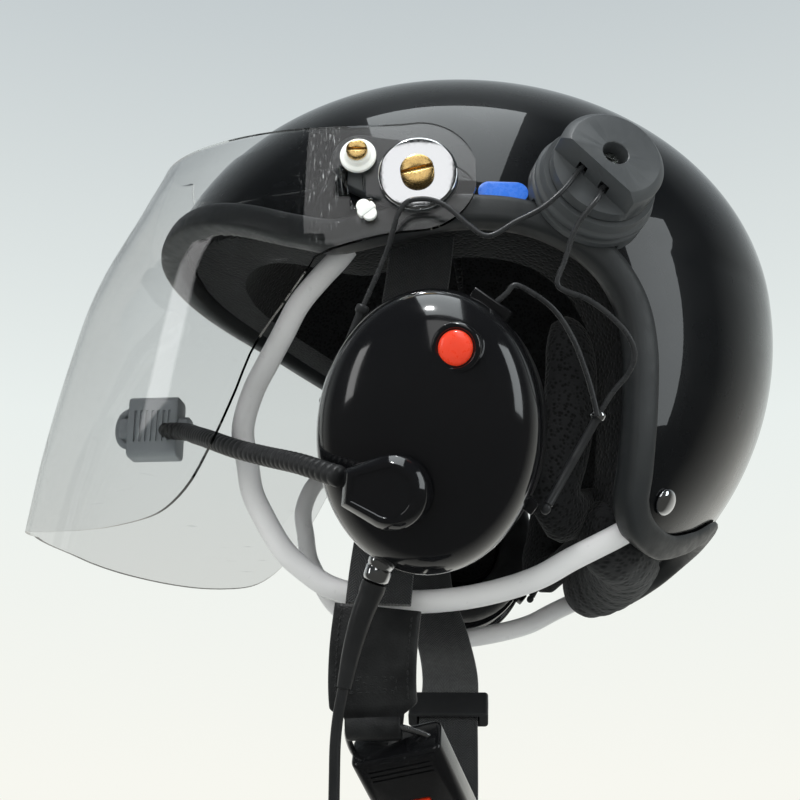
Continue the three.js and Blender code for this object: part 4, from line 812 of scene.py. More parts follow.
def dome_layer(name, outer_inset, inner_inset, set_back, columns=240, skirt=48, crown=52, lip=None):
    """A closed layer between two depths. A lip is a distance from the edge and the depth beyond it."""
    top = CROWN - outer_inset
    heights = np.concatenate([
        np.linspace(-FLAP_DROP - BELOW_FLAP, 0, skirt, endpoint=False),
        top * np.sin(np.linspace(0, math.pi / 2, crown + 1)),
    ])
    angles = np.linspace(0, 2 * math.pi, columns, endpoint=False)
    angle, height = (a.ravel() for a in np.meshgrid(angles, heights))
    outer = plan_points(angle, height, outer_inset)
    distance, nearest = edge_distance(outer[:, 1:])
    faces = [f for f in ring_faces(len(heights), columns) if all(distance[v] > set_back for v in f)]
    sides = {}
    for face in faces:
        for a, b in zip(face, face[1:] + face[:1]):
            sides[(a, b)] = (b, a) not in sides
            if not sides[(a, b)]:
                sides[(b, a)] = False
    border = [pair for pair, single in sides.items() if single]
    rim = np.array(sorted({v for pair in border for v in pair}))
    away = outer[rim, 1:] - nearest[rim]
    slid = nearest[rim] + away / np.linalg.norm(away, axis=1)[:, None] * set_back
    side, front, rear, power = half_sizes(slid[:, 1], outer_inset)
    reach = np.where(slid[:, 0] < 0, front, rear)
    x = np.sign(outer[rim, 0]) * surface_x(slid[:, 0], slid[:, 1], outer_inset)
    outer[rim] = np.column_stack([x, slid])
    height[rim] = slid[:, 1]
    angle[rim] = np.arctan2(
        np.sign(slid[:, 0]) * np.clip(np.abs(slid[:, 0]) / reach, 0, 1) ** (power / 2),
        np.sign(x) * np.clip(np.abs(x) / side, 0, 1) ** (power / 2),
    )
    if lip:
        deep = plan_points(angle, height * np.where(height > 0, (CROWN - lip[1]) / top, 1), lip[1])
        share = np.clip((distance - lip[0]) / LIP_RUN, 0, 1)[:, None]
        share[rim] = 0
        outer = outer * (1 - share) + deep * share
    inner = plan_points(angle, height * np.where(height > 0, (CROWN - inner_inset) / top, 1), inner_inset)
    count = len(outer)
    all_faces = faces + [tuple(v + count for v in f[::-1]) for f in faces]
    all_faces += [(b, a, a + count, b + count) for a, b in border]
    used = np.zeros(2 * count, bool)
    used[[v for f in all_faces for v in f]] = True
    number = np.cumsum(used) - 1
    points = np.vstack([outer, inner])[used]
    return make_piece(name, points, [tuple(int(number[v]) for v in f) for f in all_faces], sharp=50)


# %% [markdown]
# The outer shell is sprayed with thick black lacquer. A mirror-smooth black surface shows only what
# it reflects, and a plain low roughness would look like glass. The finish has two layers instead: a
# satin black below, and over it a clear coat with the faintest orange peel. A little dust settles in
# places.

# %% Shell lacquer
LACQUER_BLACK = (0.004, 0.0045, 0.0055)
lacquer = new_finish("shell_lacquer", LACQUER_BLACK, 0.32, sockets={
    "Coat Weight": 1.0, "Coat Roughness": 0.025, "Coat IOR": 1.5, "Specular IOR Level": 0.1,
})
mottle(lacquer, in_patches(lacquer, 1700, 6, 0.66, 0.8, 0.4, 26), LACQUER_BLACK, (0.1, 0.1, 0.105))
uneven_roughness(lacquer, noise(lacquer, 40, 4), 0.22, 0.4)
peel = add_node(lacquer, "ShaderNodeBump", {"Height": noise(lacquer, 150, 2), "Distance": 0.008 * MM})
lacquer.node_tree.links.new(peel.outputs["Normal"], shader_of(lacquer).inputs["Coat Normal"])
add_bump(lacquer, noise(lacquer, 500, 2), 0.01)

shell = dome_layer("shell_lacquered", 0.0, 3.6, 1.2)
dress(shell, "shell", "shell_black", lacquer, "outer_shell")
print("shell faces", len(shell.data.polygons))

# %% [markdown]
# The rubber trim is a soft profile with a groove, pressed over the shell's edge all the way round. A
# round bevel on a curve would make a plain hose. Its real section has rounded lips, so the section
# is drawn in millimetres and carried along the edge line. It is matte, and handling has polished it
# slightly in places.

# %% Edge trim
trim_rubber = moulded(
    "trim_rubber", (0.018, 0.0195, 0.021), (0.028, 0.03, 0.032), (0.36, 0.52), 1400, 0.04,
)
TRIM_SECTION = np.array([
    (0.4, -0.4), (0.4, 8.6), (1.5, 8.35), (2.3, 7.4), (2.75, 5.6), (2.9, 3), (2.9, -0.2), (2.6, -1.5),
    (1.7, -2.4), (0, -2.8), (-3, -3), (-5.6, -2.9), (-7, -2), (-7.75, -0.4), (-7.8, 4.4), (-7.4, 6.4),
    (-6.7, 6.9), (-6.2, 5.4), (-6.2, -0.4),
])
trim = closed_skin("trim_pressed", edge_rings(edge_loop, TRIM_SECTION), looped=True, sharp=50)
dress(trim, "shell", "trim_rubber", trim_rubber, "edge_trim")
print("trim faces", len(trim.data.polygons))

# %% [markdown]
# Inside the shell sits a moulded foam liner, and inside that the comfort padding: dark spacer mesh
# folded round the foam's border in a soft lip. Behind each ear a long, soft pad fills the room
# between the flap and the cup. Cloth simulation could swell these pieces, but they are pressed
# between stiff layers and keep their shape, so each one is drawn as a closed form: the layers stop
# at their own distance from the edge, and the pads are rounded rings along it.

# %% Foam and padding finishes
bead_foam = new_finish("bead_foam", (0.008, 0.008, 0.009), 0.9, sockets={"Specular IOR Level": 0.15})
beads = cells(bead_foam, 520)
mottle(bead_foam, between(bead_foam, beads, 0.1, 0.7), (0.011, 0.011, 0.012), (0.004, 0.004, 0.005))
add_bump(bead_foam, beads, 0.2)

spacer_mesh = new_finish("spacer_mesh", (0.012, 0.012, 0.013), 0.85, sockets={
    "Sheen Weight": 0.1, "Specular IOR Level": 0.15,
})
holes = cells(spacer_mesh, 620)
mottle(spacer_mesh, between(spacer_mesh, holes, 0.25, 0.5), (0.003, 0.003, 0.003), (0.012, 0.012, 0.013))
add_bump(spacer_mesh, between(spacer_mesh, holes, 0.2, 0.6), 0.25)
add_bump(spacer_mesh, noise(spacer_mesh, 45, 2), 0.9)
print("padding finishes", bead_foam.name, spacer_mesh.name)

# %% Foam, padding and ear pads
EAR_PAD_OFFSET = np.array((-31.0, -10.8))
EAR_PAD_HALF = np.array((7.0, 11.0))
EAR_PAD_BEHIND = 60.0
EAR_PAD_TOP = -18.0
EAR_PAD_FOOT = -104.0
EAR_PAD_RINGS = 70
EAR_PAD_SIDES = 36


def ear_pad_rings():
    """A soft pad that follows the edge line behind the ear, inside the foam."""
    y, z = left_edge[:, 1], left_edge[:, 2]
    within = (y > EAR_PAD_BEHIND) & (z < EAR_PAD_TOP) & (z > EAR_PAD_FOOT)
    line = walk(left_edge[within], EAR_PAD_RINGS)
    shares = np.linspace(-1, 1, EAR_PAD_RINGS)
    sizes = np.sqrt(1 - (0.985 * shares) ** 8)
    sections = EAR_PAD_OFFSET + sizes[:, None, None] * circle(1, EAR_PAD_SIDES) * EAR_PAD_HALF
    return edge_rings(line, sections, looped=False)


foam = dome_layer("foam_moulded", 4.3, 24.0, 11.0, 180, 34, 36)
dress(foam, "shell", "foam_grey", bead_foam, "eps_liner")
padding = dome_layer("padding_lined", 13.6, 38.0, 1.6, 180, 34, 36, lip=(9.0, 24.4))
soften(padding, 3.5, 3, 60)
dress(padding, "shell", "liner_mesh", spacer_mesh, "comfort_liner")
ear_pad = closed_skin("ear_pad", ear_pad_rings(), sharp=60)
for made in dress_pair(ear_pad, "ear_pad_sewn", SHELL_PAIR, "liner_mesh", spacer_mesh):
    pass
print("padding faces", len(padding.data.polygons))

# %% [markdown]
# The neck roll closes the nape. It is a stuffed tube of cloth, its upper half open mesh and its lower
# half a coarser drawn mesh, and a sewn seam pulls it in where the two meet. A simulation would swell
# a sewn tube much like this; carrying a ring with a pinch in it round the nape gives the same form
# in no time, and the two cloths are two materials on one mesh.

# %% Neck roll
drawn_mesh = new_finish("drawn_mesh", (0.01, 0.01, 0.011), 0.85, sockets={
    "Sheen Weight": 0.1, "Specular IOR Level": 0.15,
})
drawn_out = stretched(drawn_mesh, place_of(drawn_mesh), (0.55, 0.8, 1.5))
openings = between(drawn_mesh, cells(drawn_mesh, 420, drawn_out), 0.15, 0.6)
mottle(drawn_mesh, openings, (0.004, 0.004, 0.005), (0.02, 0.02, 0.021))
add_bump(drawn_mesh, openings, 0.3)
add_bump(drawn_mesh, noise(drawn_mesh, 60, 3), 1.0)

ROLL_STEPS = 72
ROLL_SIDES = 44
ROLL_HALF_DEPTH = 15.0
ROLL_HALF_HEIGHT = 18.0
ROLL_LEVEL = -108.0
ROLL_INSET = 28.0
NAPE_RISE = 2.0
NAPE_INSET = 11.0
ROLL_SEAM_AT = -0.25
ROLL_SEAM_PULL = 0.12


def roll_rings():
    """The tube from ear to ear, round at its ends, a little lumpy, and set deeper in at the nape."""
    rings = []
    for i in range(ROLL_STEPS + 1):
        share = 2 * i / ROLL_STEPS - 1
        bulge = math.sqrt(1 - (0.98 * share) ** 8) * (1 + 0.012 * math.sin(i * 0.9))
        angle = math.pi / 2 * (1 + 0.56 * share)
        nape = math.cos(share * math.pi / 2)
        level, inset = ROLL_LEVEL + NAPE_RISE * nape, ROLL_INSET + NAPE_INSET * nape
        centre = plan_points(np.array(angle), np.array(level), inset)
        radial = np.array((math.cos(angle), math.sin(angle), 0))
        ring = []
        for turn in np.linspace(0, 2 * math.pi, ROLL_SIDES, endpoint=False):
            from_seam = math.remainder(turn - ROLL_SEAM_AT, 2 * math.pi)
            size = bulge * (1 - ROLL_SEAM_PULL * math.exp(-(from_seam / 0.09) ** 2))
            across = ROLL_HALF_DEPTH * math.cos(turn) * radial
            ring.append(centre + size * (across + ROLL_HALF_HEIGHT * math.sin(turn) * UPWARD))
        rings.append(ring)
    return rings


roll = closed_skin("neck_roll_sewn", roll_rings(), sharp=60)
dress(roll, "shell", "roll_mesh", spacer_mesh, "neck_roll")
roll.data.materials.append(drawn_mesh)
for face in roll.data.polygons:
    if face.index < ROLL_STEPS * ROLL_SIDES:
        face.material_index = int(face.index % ROLL_SIDES > ROLL_SIDES / 2)
print("roll faces", len(roll.data.polygons))

# %% [markdown]
# The visor is one sheet of clear plastic, 2 mm thick, cut flat and bent. It is nearly flat at the
# sides, folds at a crease in front of the pivot and then wraps round the face. A flat sheet could be
# bent by modifiers, but the curve across the face changes from top to bottom. So its grid is built
# column by column, from the round arm at the pivot to the middle of the face, and then mirrored.

# %% Visor sheet
VISOR_THICKNESS = 2.0
VISOR_DROP = 104.5
VISOR_POWER = 1.8
VISOR_HALF = 124.2
CREASE = -46.0
PIVOT_BACK = -7.0
PIVOT_UP = 19.0
ARM_RADIUS = 22.5
VISOR_TOP = 41.0
PEAK_RISE = 46.0
PULL_ABOVE = 0.26
PULL_BELOW = 0.2
SHEET_ROWS = 30
ARM_COLUMNS, FLAT_COLUMNS, FACE_COLUMNS = 24, 5, 72
visor_reach = smooth_graph([(-95, 146), (-60, 140), (-25, 131.5), (10, 120), (40, 102), (62, 91), (90, 83)])
visor_rim = smooth_graph([
    (0, 0.115), (0.067, 0.258), (0.133, 0.42), (0.167, 0.574), (0.211, 0.756), (0.256, 0.9), (0.3, 0.966),
    (0.333, 0.986), (0.411, 1), (0.489, 0.995), (0.622, 0.967), (0.722, 0.938), (0.811, 0.909), (1, 0.88),
])


def visor_sheet():
    """The sheet's middle surface: round arm, flat side up to the crease, and wrap round the face."""
    levels = np.linspace(0, 1, SHEET_ROWS)[:, None]
    columns = []

    def add_column(x, y, low, high):
        z = low + (high - low) * levels
        columns.append(np.hstack([np.broadcast_to(x, z.shape), np.broadcast_to(y, z.shape), z]))

    for turn in np.radians(np.linspace(14, 90, ARM_COLUMNS)):
        half = ARM_RADIUS * math.sin(turn)
        add_column(VISOR_HALF, PIVOT_BACK + ARM_RADIUS * math.cos(turn), PIVOT_UP - half, PIVOT_UP + half)
    arm_foot, crease_foot = PIVOT_UP - ARM_RADIUS, -VISOR_DROP * float(visor_rim(0))
    for share in np.linspace(0, 1, FLAT_COLUMNS + 2)[1:-1]:
        low = arm_foot + (crease_foot - arm_foot) * share ** 1.7
        add_column(VISOR_HALF, PIVOT_BACK + (CREASE - PIVOT_BACK) * share, low, VISOR_TOP)
    for share in np.linspace(0, 1, FACE_COLUMNS + 1) ** 1.15:
        angle = share * math.pi / 2
        low, high = -VISOR_DROP * float(visor_rim(share)), VISOR_TOP + PEAK_RISE * share * share
        z = low + (high - low) * levels
        above, below = np.clip(z - VISOR_TOP, 0, None), np.clip(-z - VISOR_TOP / 12, 0, None)
        side = VISOR_HALF - PULL_ABOVE * above - PULL_BELOW * below
        x = side * max(math.cos(angle), 0) ** (2 / VISOR_POWER)
        add_column(x, CREASE - visor_reach(z) * math.sin(angle) ** (2 / VISOR_POWER), low, high)
    left = np.array(columns)
    return np.concatenate([left, left[-2::-1] * (-1, 1, 1)])


def thick_sheet(name, sheet, thickness):
    along = np.gradient(sheet, axis=0)
    rise = np.gradient(sheet, axis=1)
    normals = np.cross(along, rise)
    normals /= np.linalg.norm(normals, axis=2, keepdims=True)
    normals *= np.sign((normals * (sheet - (0, CREASE, 0))).sum(axis=2, keepdims=True))
    outside, inside = sheet + normals * thickness / 2, sheet - normals * thickness / 2
    return closed_skin(name, np.concatenate([outside, inside[:, ::-1]], axis=1), sharp=40)


def pivot_place(x, rearward=0.0, up=0.0, turn=0.0):
    """A frame on the pivot's axis, its Z pointing outwards."""
    return moved(frame_at((x, PIVOT_BACK, PIVOT_UP), OUTWARD, REARWARD), rearward, up, 0, turn)


STOP_RADIUS = 24.0
STOP_ANGLE = math.radians(160)
SLOT_END = math.radians(204)
STOP = (STOP_RADIUS * math.cos(STOP_ANGLE), STOP_RADIUS * math.sin(STOP_ANGLE))


def prism(name, outline, place, low, high):
    outline = np.asarray(outline, float)
    rings = [np.column_stack([outline, np.full(len(outline), z)]) for z in (low, high)]
    return closed_skin(name, [carry(place, r) for r in rings], sharp=30)


def arc(radius, start, end, steps=24):
    angles = np.linspace(start, end, steps)
    return np.column_stack([radius * np.cos(angles), radius * np.sin(angles)])


def slot_outline(half):
    tip = STOP_RADIUS * np.array((math.cos(SLOT_END), math.sin(SLOT_END)))
    return np.vstack([
        arc(STOP_RADIUS + half, STOP_ANGLE, SLOT_END),
        tip + arc(half, SLOT_END, SLOT_END + math.pi, 10)[1:-1],
        arc(STOP_RADIUS - half, SLOT_END, STOP_ANGLE),
        np.array(STOP) + arc(half, STOP_ANGLE + math.pi, STOP_ANGLE + 2 * math.pi, 10)[1:-1],
    ])


SLOT_HALF = 2.85
PIVOT_HOLE_RADIUS = 3.7
visor = thick_sheet("visor_sheet", visor_sheet(), VISOR_THICKNESS)
for right_side in (False, True):
    for outline in (slot_outline(SLOT_HALF), circle(PIVOT_HOLE_RADIUS, 32)):
        cutter = prism("visor_cutter", outline, pivot_place(VISOR_HALF), -5, 5)
        carve(visor, flip_side(cutter) if right_side else cutter)
print("visor faces", len(visor.data.polygons))

# %% [markdown]
# Clear plastic is seen by its edges, its reflections and its marks: a thin dark rim, a cloud of fine
# white cracks beside the crease where the sheet has been bent, wiping scratches and dust. A glass
# shader alone would be invisible. So the marks make the sheet less clear and less smooth where they
# are, and the rest stays clean.

# %% Visor finish
CLEAR_TINT = (0.99, 0.992, 0.995)
clear = new_finish("clear_sheet", CLEAR_TINT, 0.03, sockets={
    "Transmission Weight": 1.0, "IOR": 1.46, "Specular IOR Level": 0.6,
})
position = place_of(clear)
axes = add_node(clear, "ShaderNodeSeparateXYZ", {"Vector": position}).outputs
ahead_of_crease = between(clear, axes["Y"], -0.0535, -0.044)
behind_crease = between(clear, axes["Y"], -0.036, -0.0385)
near_crease = maths(clear, "MULTIPLY", ahead_of_crease, behind_crease)
upper = between(clear, axes["Z"], -0.10, -0.05)
cracks = between(clear, noise(clear, 1.0, 5, stretched(clear, position, (700, 1500, 260))), 0.6, 0.72)
crazing = maths(clear, "MULTIPLY", maths(clear, "MULTIPLY", cracks, near_crease), upper)
wiping = noise(clear, 1.0, 2, stretched(clear, position, (60, 60, 1400)))
scratches = between(clear, wiping, 0.71, 0.75, 0.0, 0.12)
dust = between(clear, noise(clear, 1500, 3), 0.74, 0.8, 0.0, 0.5)
worn = maths(clear, "MAXIMUM", scratches, dust)
marks = maths(clear, "MAXIMUM", maths(clear, "MULTIPLY", crazing, 0.6), worn)
mottle(clear, marks, CLEAR_TINT, (0.9, 0.92, 0.94))
link(clear, between(clear, marks, 0.0, 1.0, 1.0, 0.25), "Transmission Weight")
link(clear, between(clear, marks, 0.0, 1.0, 0.02, 0.55), "Roughness")
add_bump(clear, noise(clear, 30, 2), 0.06)
dress(visor, "visor", "visor_clear", clear, "visor")
print("visor shader nodes", len(clear.node_tree.nodes))

# %% [markdown]
# The visor turns on a dark plate fixed to the shell. A mirror-bright washer presses it against the
# plate, held by a slotted brass screw. Washer and screw are turned parts with real chamfers, because
# bright metal shows every edge; a plain disc would look like paper. The screw's slot is cut with a
# block, and the cut is then rounded a little.

# %% Pivot plate, washer and screw
PLATE_RADIUS = 15.0
PLATE_STOP_RADIUS = 10.8
PLATE_DEPTH = 7.0
PLATE_FACE = 122.9
satin_plastic = moulded(
    "satin_plastic", (0.05, 0.053, 0.057), (0.07, 0.074, 0.078), (0.32, 0.46), 2200, 0.04,
)
brass = new_finish("turned_brass", (0.83, 0.57, 0.22), 0.2, 1.0)
mottle(brass, noise(brass, 300, 4), (0.88, 0.62, 0.26), (0.7, 0.45, 0.16))
uneven_roughness(brass, noise(brass, 900, 3), 0.14, 0.34)
add_bump(brass, noise(brass, 2400, 2), 0.03)

plate_outline = np.vstack([
    arc(PLATE_RADIUS, STOP_ANGLE + math.pi / 2, STOP_ANGLE + 1.5 * math.pi, 30),
    np.array(STOP) + arc(PLATE_STOP_RADIUS, STOP_ANGLE - math.pi / 2, STOP_ANGLE + math.pi / 2),
])
plate = prism("pivot_plate_moulded", plate_outline, pivot_place(PLATE_FACE), -PLATE_DEPTH, 0)
soften(plate, 0.5, 3)
dress_pair(plate, "pivot_plate_moulded", SHELL_PAIR, "pivot_dark", satin_plastic, "pivot_plate")

WASHER_SEAT = 125.55
washer_profile = [
    (3.4, 0), (15.1, 0), (15.15, 0.4), (15.05, 1.1), (14.7, 1.5), (14.2, 1.62), (7.4, 1.68), (6.9, 1.7),
    (3.4, 1.7),
]
washer = turned("washer", washer_profile, pivot_place(WASHER_SEAT), 96, 50)
dress_pair(washer, "pivot_washer_polished", SHELL_PAIR, "washer_chrome", polished, "pivot_washer")


def slotted_head(name, head, height, slot, place, shank, shank_length):
    """A screw with a nearly flat head, cut by a slot half as deep as the head is high."""
    r = head / 2
    profile = [
        (0, -shank_length), (shank / 2, -shank_length), (shank / 2, 0), (r * 0.97, 0), (r, 0.25),
        (r, height * 0.8), (r * 0.97, height * 0.92), (r * 0.9, height * 0.98), (r * 0.6, height),
        (0, height),
    ]
    screw = turned(name, profile, place, 64, 50)
    cutter = block("slot_cutter", (2.6 * r, slot, height), moved(place, z=height))
    return soften(carve(screw, cutter), 0.12, 2, 40)


screw = slotted_head("pivot_screw", 12.8, 2.6, 1.7, pivot_place(127.6, turn=0.22), 6, 5.5)
dress_pair(screw, "pivot_screw_slotted", SHELL_PAIR, "screw_brass", brass, "pivot_screw")
print("plate turned in degrees", round(math.degrees(STOP_ANGLE)))

# %% [markdown]
# The stop is a milky nylon knob in two tiers. Its neck slides in the visor's curved slot, and a
# small nylon clip at the slot's foot makes the sheet stay where it is put. White paint would look
# dead: light enters nylon a little way, so the finish has some subsurface scattering. The clip is
# three soft lobes joined as one object, as a mould would leave them.

# %% Stop knob and clip
nylon = new_finish("milky_nylon", (0.80, 0.79, 0.75), 0.38, sockets={
    "Subsurface Weight": 0.35, "Subsurface Scale": 0.002, "Subsurface Radius": (1.0, 0.9, 0.8),
})
mottle(nylon, noise(nylon, 160, 4), (0.93, 0.92, 0.89), (0.84, 0.83, 0.79))
uneven_roughness(nylon, noise(nylon, 700, 3), 0.28, 0.5)
add_bump(nylon, noise(nylon, 1300, 3), 0.05)

STOP_SEAT = 123.25
stop_profile = [
    (1.75, 0), (2.5, 0), (2.5, 2.35), (6.3, 2.35), (6.75, 2.6), (6.9, 3.0), (6.9, 4.2), (6.6, 4.6),
    (5.6, 4.75), (5.2, 5.0), (5.0, 5.6), (4.9, 6.5), (4.5, 6.9), (1.75, 6.9),
]
stop_knob = turned("stop_knob", stop_profile, pivot_place(STOP_SEAT, *STOP), 72, 45)
dress_pair(stop_knob, "stop_knob_turned", SHELL_PAIR, "nylon_white", nylon, "stop_knob")
stop_screw = slotted_head("stop_screw", 8, 1.8, 1.36, pivot_place(130.5, *STOP, turn=-0.06), 2.8, 7)
dress_pair(stop_screw, "stop_screw_slotted", SHELL_PAIR, "screw_brass", brass, "stop_screw")

CLIP_ANGLE = math.radians(217)
clip_place = moved(pivot_place(WASHER_SEAT, turn=CLIP_ANGLE), STOP_RADIUS)
lobes = [prism("clip_lobe", circle(2.75, 32) + (0, y), clip_place, 0, 1.9) for y in (-1.9, 1.9)]
waist = prism("clip_waist", rounded_rectangle(3.6, 1.5, 0.7), clip_place, 0, 2.2)
for lobe in lobes + [waist]:
    soften(lobe, 0.35, 3, 40)
clip = join("slot_clip", lobes + [waist])
dress_pair(clip, "slot_clip_moulded", ("visor", "visor"), "nylon_white", nylon, "slot_clip")
print("stop at", np.round(STOP, 1))

# %% [markdown]
# Behind the pivot stands a turret of dark plastic that carries the ear cup's spring wire. Its base
# has a moulded groove; the knob on top has a broad chamfer, a flat with a shelf, two square notches
# for the wire, and a cross-head screw at the bottom of a round recess. The knob could be modelled
# face by face; it is made as a machinist would, turned first and then cut with blocks. The base is
# cut back where the trim passes under it.

# %% Turret
TURRET_AXIS = unit((0.93, 0.32, 0.17))
level = frame_at((0, 0, 0), TURRET_AXIS, REARWARD)
flat_turn = math.radians(227.5)
flat_side = level[:3, :3] @ (math.cos(flat_turn), math.sin(flat_turn), 0)
turret = frame_at(spots((0.9075, 0.4114, 0.1356)), TURRET_AXIS, flat_side)

base_profile = [
    (0, -3.2), (24, -3.2), (24, 3.1), (23.6, 3.5), (22.9, 3.9), (22.9, 5.1), (23.6, 5.5), (24, 5.9),
    (24, 6.8), (23.7, 7.3), (22.9, 7.7), (22.6, 8.2), (22.6, 11.4), (22.3, 11.9), (0, 12),
]
turret_base = turned("turret_base", base_profile, turret, 96, 40)
TRIM_ROOM = np.array([(-3.6, -6), (-3.6, 8.9), (3.2, 8.9), (3.2, -6)])
trim_room = closed_skin("trim_room", edge_rings(left_edge[60:330:2], TRIM_ROOM, looped=False), sharp=40)
sharpen(carve(turret_base, trim_room), 40)
dress_pair(turret_base, "turret_base_moulded", SHELL_PAIR, "turret_dark", satin_plastic, "turret_base")

FLAT_FROM_AXIS = 9.6
SHELF_HEIGHT = 17.0
WIRE_HEIGHT = 19.2
CHANNEL_FROM_AXIS = 5.8
NOTCH_SIDE = 5.4
NOTCH_LENGTH = 9.6
turret_profile = [
    (0, 12.35), (20.1, 12.35), (20.5, 12.8), (20.5, 23.6), (20.3, 24.0), (17.6, 26.8), (17.2, 27),
    (5.3, 27), (5.0, 26.7), (5.0, 19.8), (0, 19.8),
]
knob = turned("turret_knob", turret_profile, turret, 96, 40)
notch_at = CHANNEL_FROM_AXIS + NOTCH_LENGTH / 2
knob_cuts = [
    block("flat_cutter", (20.5, 62, 40), moved(turret, FLAT_FROM_AXIS + 10.25, 0, SHELF_HEIGHT + 20)),
    block("channel_cutter", (4, 14.8, 4), moved(turret, CHANNEL_FROM_AXIS, 0, WIRE_HEIGHT)),
    block("notch_cutter", (NOTCH_LENGTH, 4, 4), moved(turret, notch_at, NOTCH_SIDE, WIRE_HEIGHT)),
    block("notch_cutter", (NOTCH_LENGTH, 4, 4), moved(turret, notch_at, -NOTCH_SIDE, WIRE_HEIGHT)),
]
soften(carve(knob, *knob_cuts), 0.3, 2, 35)
dress_pair(knob, "turret_knob_cut", SHELL_PAIR, "turret_dark", satin_plastic, "turret_knob")

zinc = new_finish("zinc_plate", (0.66, 0.68, 0.66), 0.25, 1.0)
uneven_roughness(zinc, noise(zinc, 800, 4), 0.18, 0.38)
add_bump(zinc, noise(zinc, 1600, 2), 0.02)
cross_profile = [
    (0, -6), (1.5, -6), (1.5, 0), (3.9, 0), (4, 0.3), (4, 1.3), (3.6, 1.9), (2.6, 2.4), (1.4, 2.6),
    (0, 2.6),
]
cross_place = moved(turret, z=20.15, turn=0.5)
cross = turned("turret_screw", cross_profile, cross_place, 48, 50)
for size in ((4.8, 1.1, 2.6), (1.1, 4.8, 2.6)):
    carve(cross, block("cross_cutter", size, moved(cross_place, z=2.4)))
soften(cross, 0.1, 2, 40)
dress_pair(cross, "turret_screw_cross", SHELL_PAIR, "screw_zinc", zinc, "turret_screw")
print("turret at", np.round(turret[:3, 3], 1))

# %% [markdown]
# Each ear cup hangs on spring wire, 2 mm thick and coated black. One piece runs from the front
# sleeve over a hump, through the turret's channel and down to the rear sleeve; a second, the bail,
# joins the cup to the rear sleeve. Straight bits of wire with elbows would be quick, but spring
# steel bends in sweeping curves, so each wire is one tube along a smooth line.

# %% Spring wires
WIRE_RADIUS = 1.0
YOKE_FRONT = [
    (1.121, 0.333, 0.051), (1.125, 0.275, -0.012), (1.121, 0.206, -0.054), (1.117, 0.134, -0.097),
    (1.112, 0.088, -0.058), (1.104, 0.032, 0.013), (1.1, -0.01, 0.042), (1.1, -0.047, 0.047),
    (1.1, -0.076, 0.038), (1.092, -0.1, 0.002), (1.075, -0.112, -0.035), (1.042, -0.135, -0.108),
    (1.003, -0.196, -0.265),
]
YOKE_REAR = [
    (1.121, 0.421, 0.019), (1.117, 0.363, -0.072), (1.1, 0.329, -0.18), (1.092, 0.309, -0.258),
    (1.067, 0.383, -0.296), (1.05, 0.43, -0.334), (1.033, 0.477, -0.391), (1.017, 0.497, -0.434),
    (1, 0.499, -0.474), (0.983, 0.481, -0.516), (0.967, 0.444, -0.565), (0.954, 0.412, -0.621),
]
BAIL = [
    (1.108, 0.146, -0.32), (1.117, 0.178, -0.29), (1.121, 0.197, -0.266), (1.108, 0.256, -0.299),
    (1.083, 0.302, -0.342), (1.05, 0.344, -0.419), (1.01, 0.373, -0.502), (0.991, 0.39, -0.575),
    (0.9817, 0.401, -0.646),
]
coated_wire = moulded("coated_wire", (0.022, 0.023, 0.025), (0.05, 0.05, 0.052), (0.2, 0.36), 1800, 0.02,
                      sockets={"Metallic": 0.3})
channel_bends = [
    (10.6, -NOTCH_SIDE), (6.6, -NOTCH_SIDE), (CHANNEL_FROM_AXIS, -4.6), (CHANNEL_FROM_AXIS, 4.6),
    (6.6, NOTCH_SIDE), (10.6, NOTCH_SIDE),
]
in_channel = carry(turret, [(x, y, WIRE_HEIGHT) for x, y in channel_bends])
yoke_line = smooth(np.vstack([spots(YOKE_FRONT)[::-1], in_channel, spots(YOKE_REAR)]), 260)
yoke = tube("yoke_wire", yoke_line, WIRE_RADIUS, 14)
dress_pair(yoke, "yoke_wire_bent", YOKE_PAIR, "wire_black", coated_wire, "yoke_wire")
bail = tube("cup_bail", smooth(spots(BAIL), 70), WIRE_RADIUS, 14)
dress_pair(bail, "cup_bail_bent", CUP_PAIR, "wire_black", coated_wire, "cup_bail")

print("wire length", round(length_of(yoke_line)))

# %% [markdown]
# Rubber sleeves are drawn over the wires' ends, each with a collar at its top and a bead at its
# foot. A capped tube would be a stand-in for them; as turned parts they get their collars and beads
# from one profile, worked out from the sleeve's length.

# %% Wire sleeves
FRONT_SLEEVE = spots([(1.0023, -0.197, -0.2677), (0.929, -0.309, -0.577)])
REAR_SLEEVE = spots([(0.9538, 0.4107, -0.6236), (0.933, 0.256, -0.936)])
BEAD_RISE = 2.1
sleeve_rubber = moulded(
    "sleeve_rubber", (0.013, 0.014, 0.015), (0.024, 0.024, 0.026), (0.3, 0.48), 1500, 0.04,
)


def sleeve_place(ends):
    return frame_at(ends[0], ends[1] - ends[0], REARWARD)


def wire_sleeve(name, ends, ball):
    """A sleeve over a wire's end: a collar at its top and a rounded bead at its foot."""
    size = length_of(ends)
    bead = [(1.6, size - 4.3), (1.75, size - 4.1)]
    for t in np.linspace(0.8, 3.0, 9):
        bead.append((max(ball * math.sin(t), 0.2), size - BEAD_RISE - BEAD_RISE * math.cos(t)))
    profile = [
        (0, 0), (1.9, 0), (2.3, 0.3), (2.5, 0.8), (2.5, 2.6), (2.3, 2.9), (1.95, 3.2), (1.7, 3.6), (1.6, 4),
        (1.6, size * 0.45), (1.66, size * 0.46), (1.6, size * 0.47), *bead, (0, size),
    ]
    return turned(name, profile, sleeve_place(ends), 32, 60)


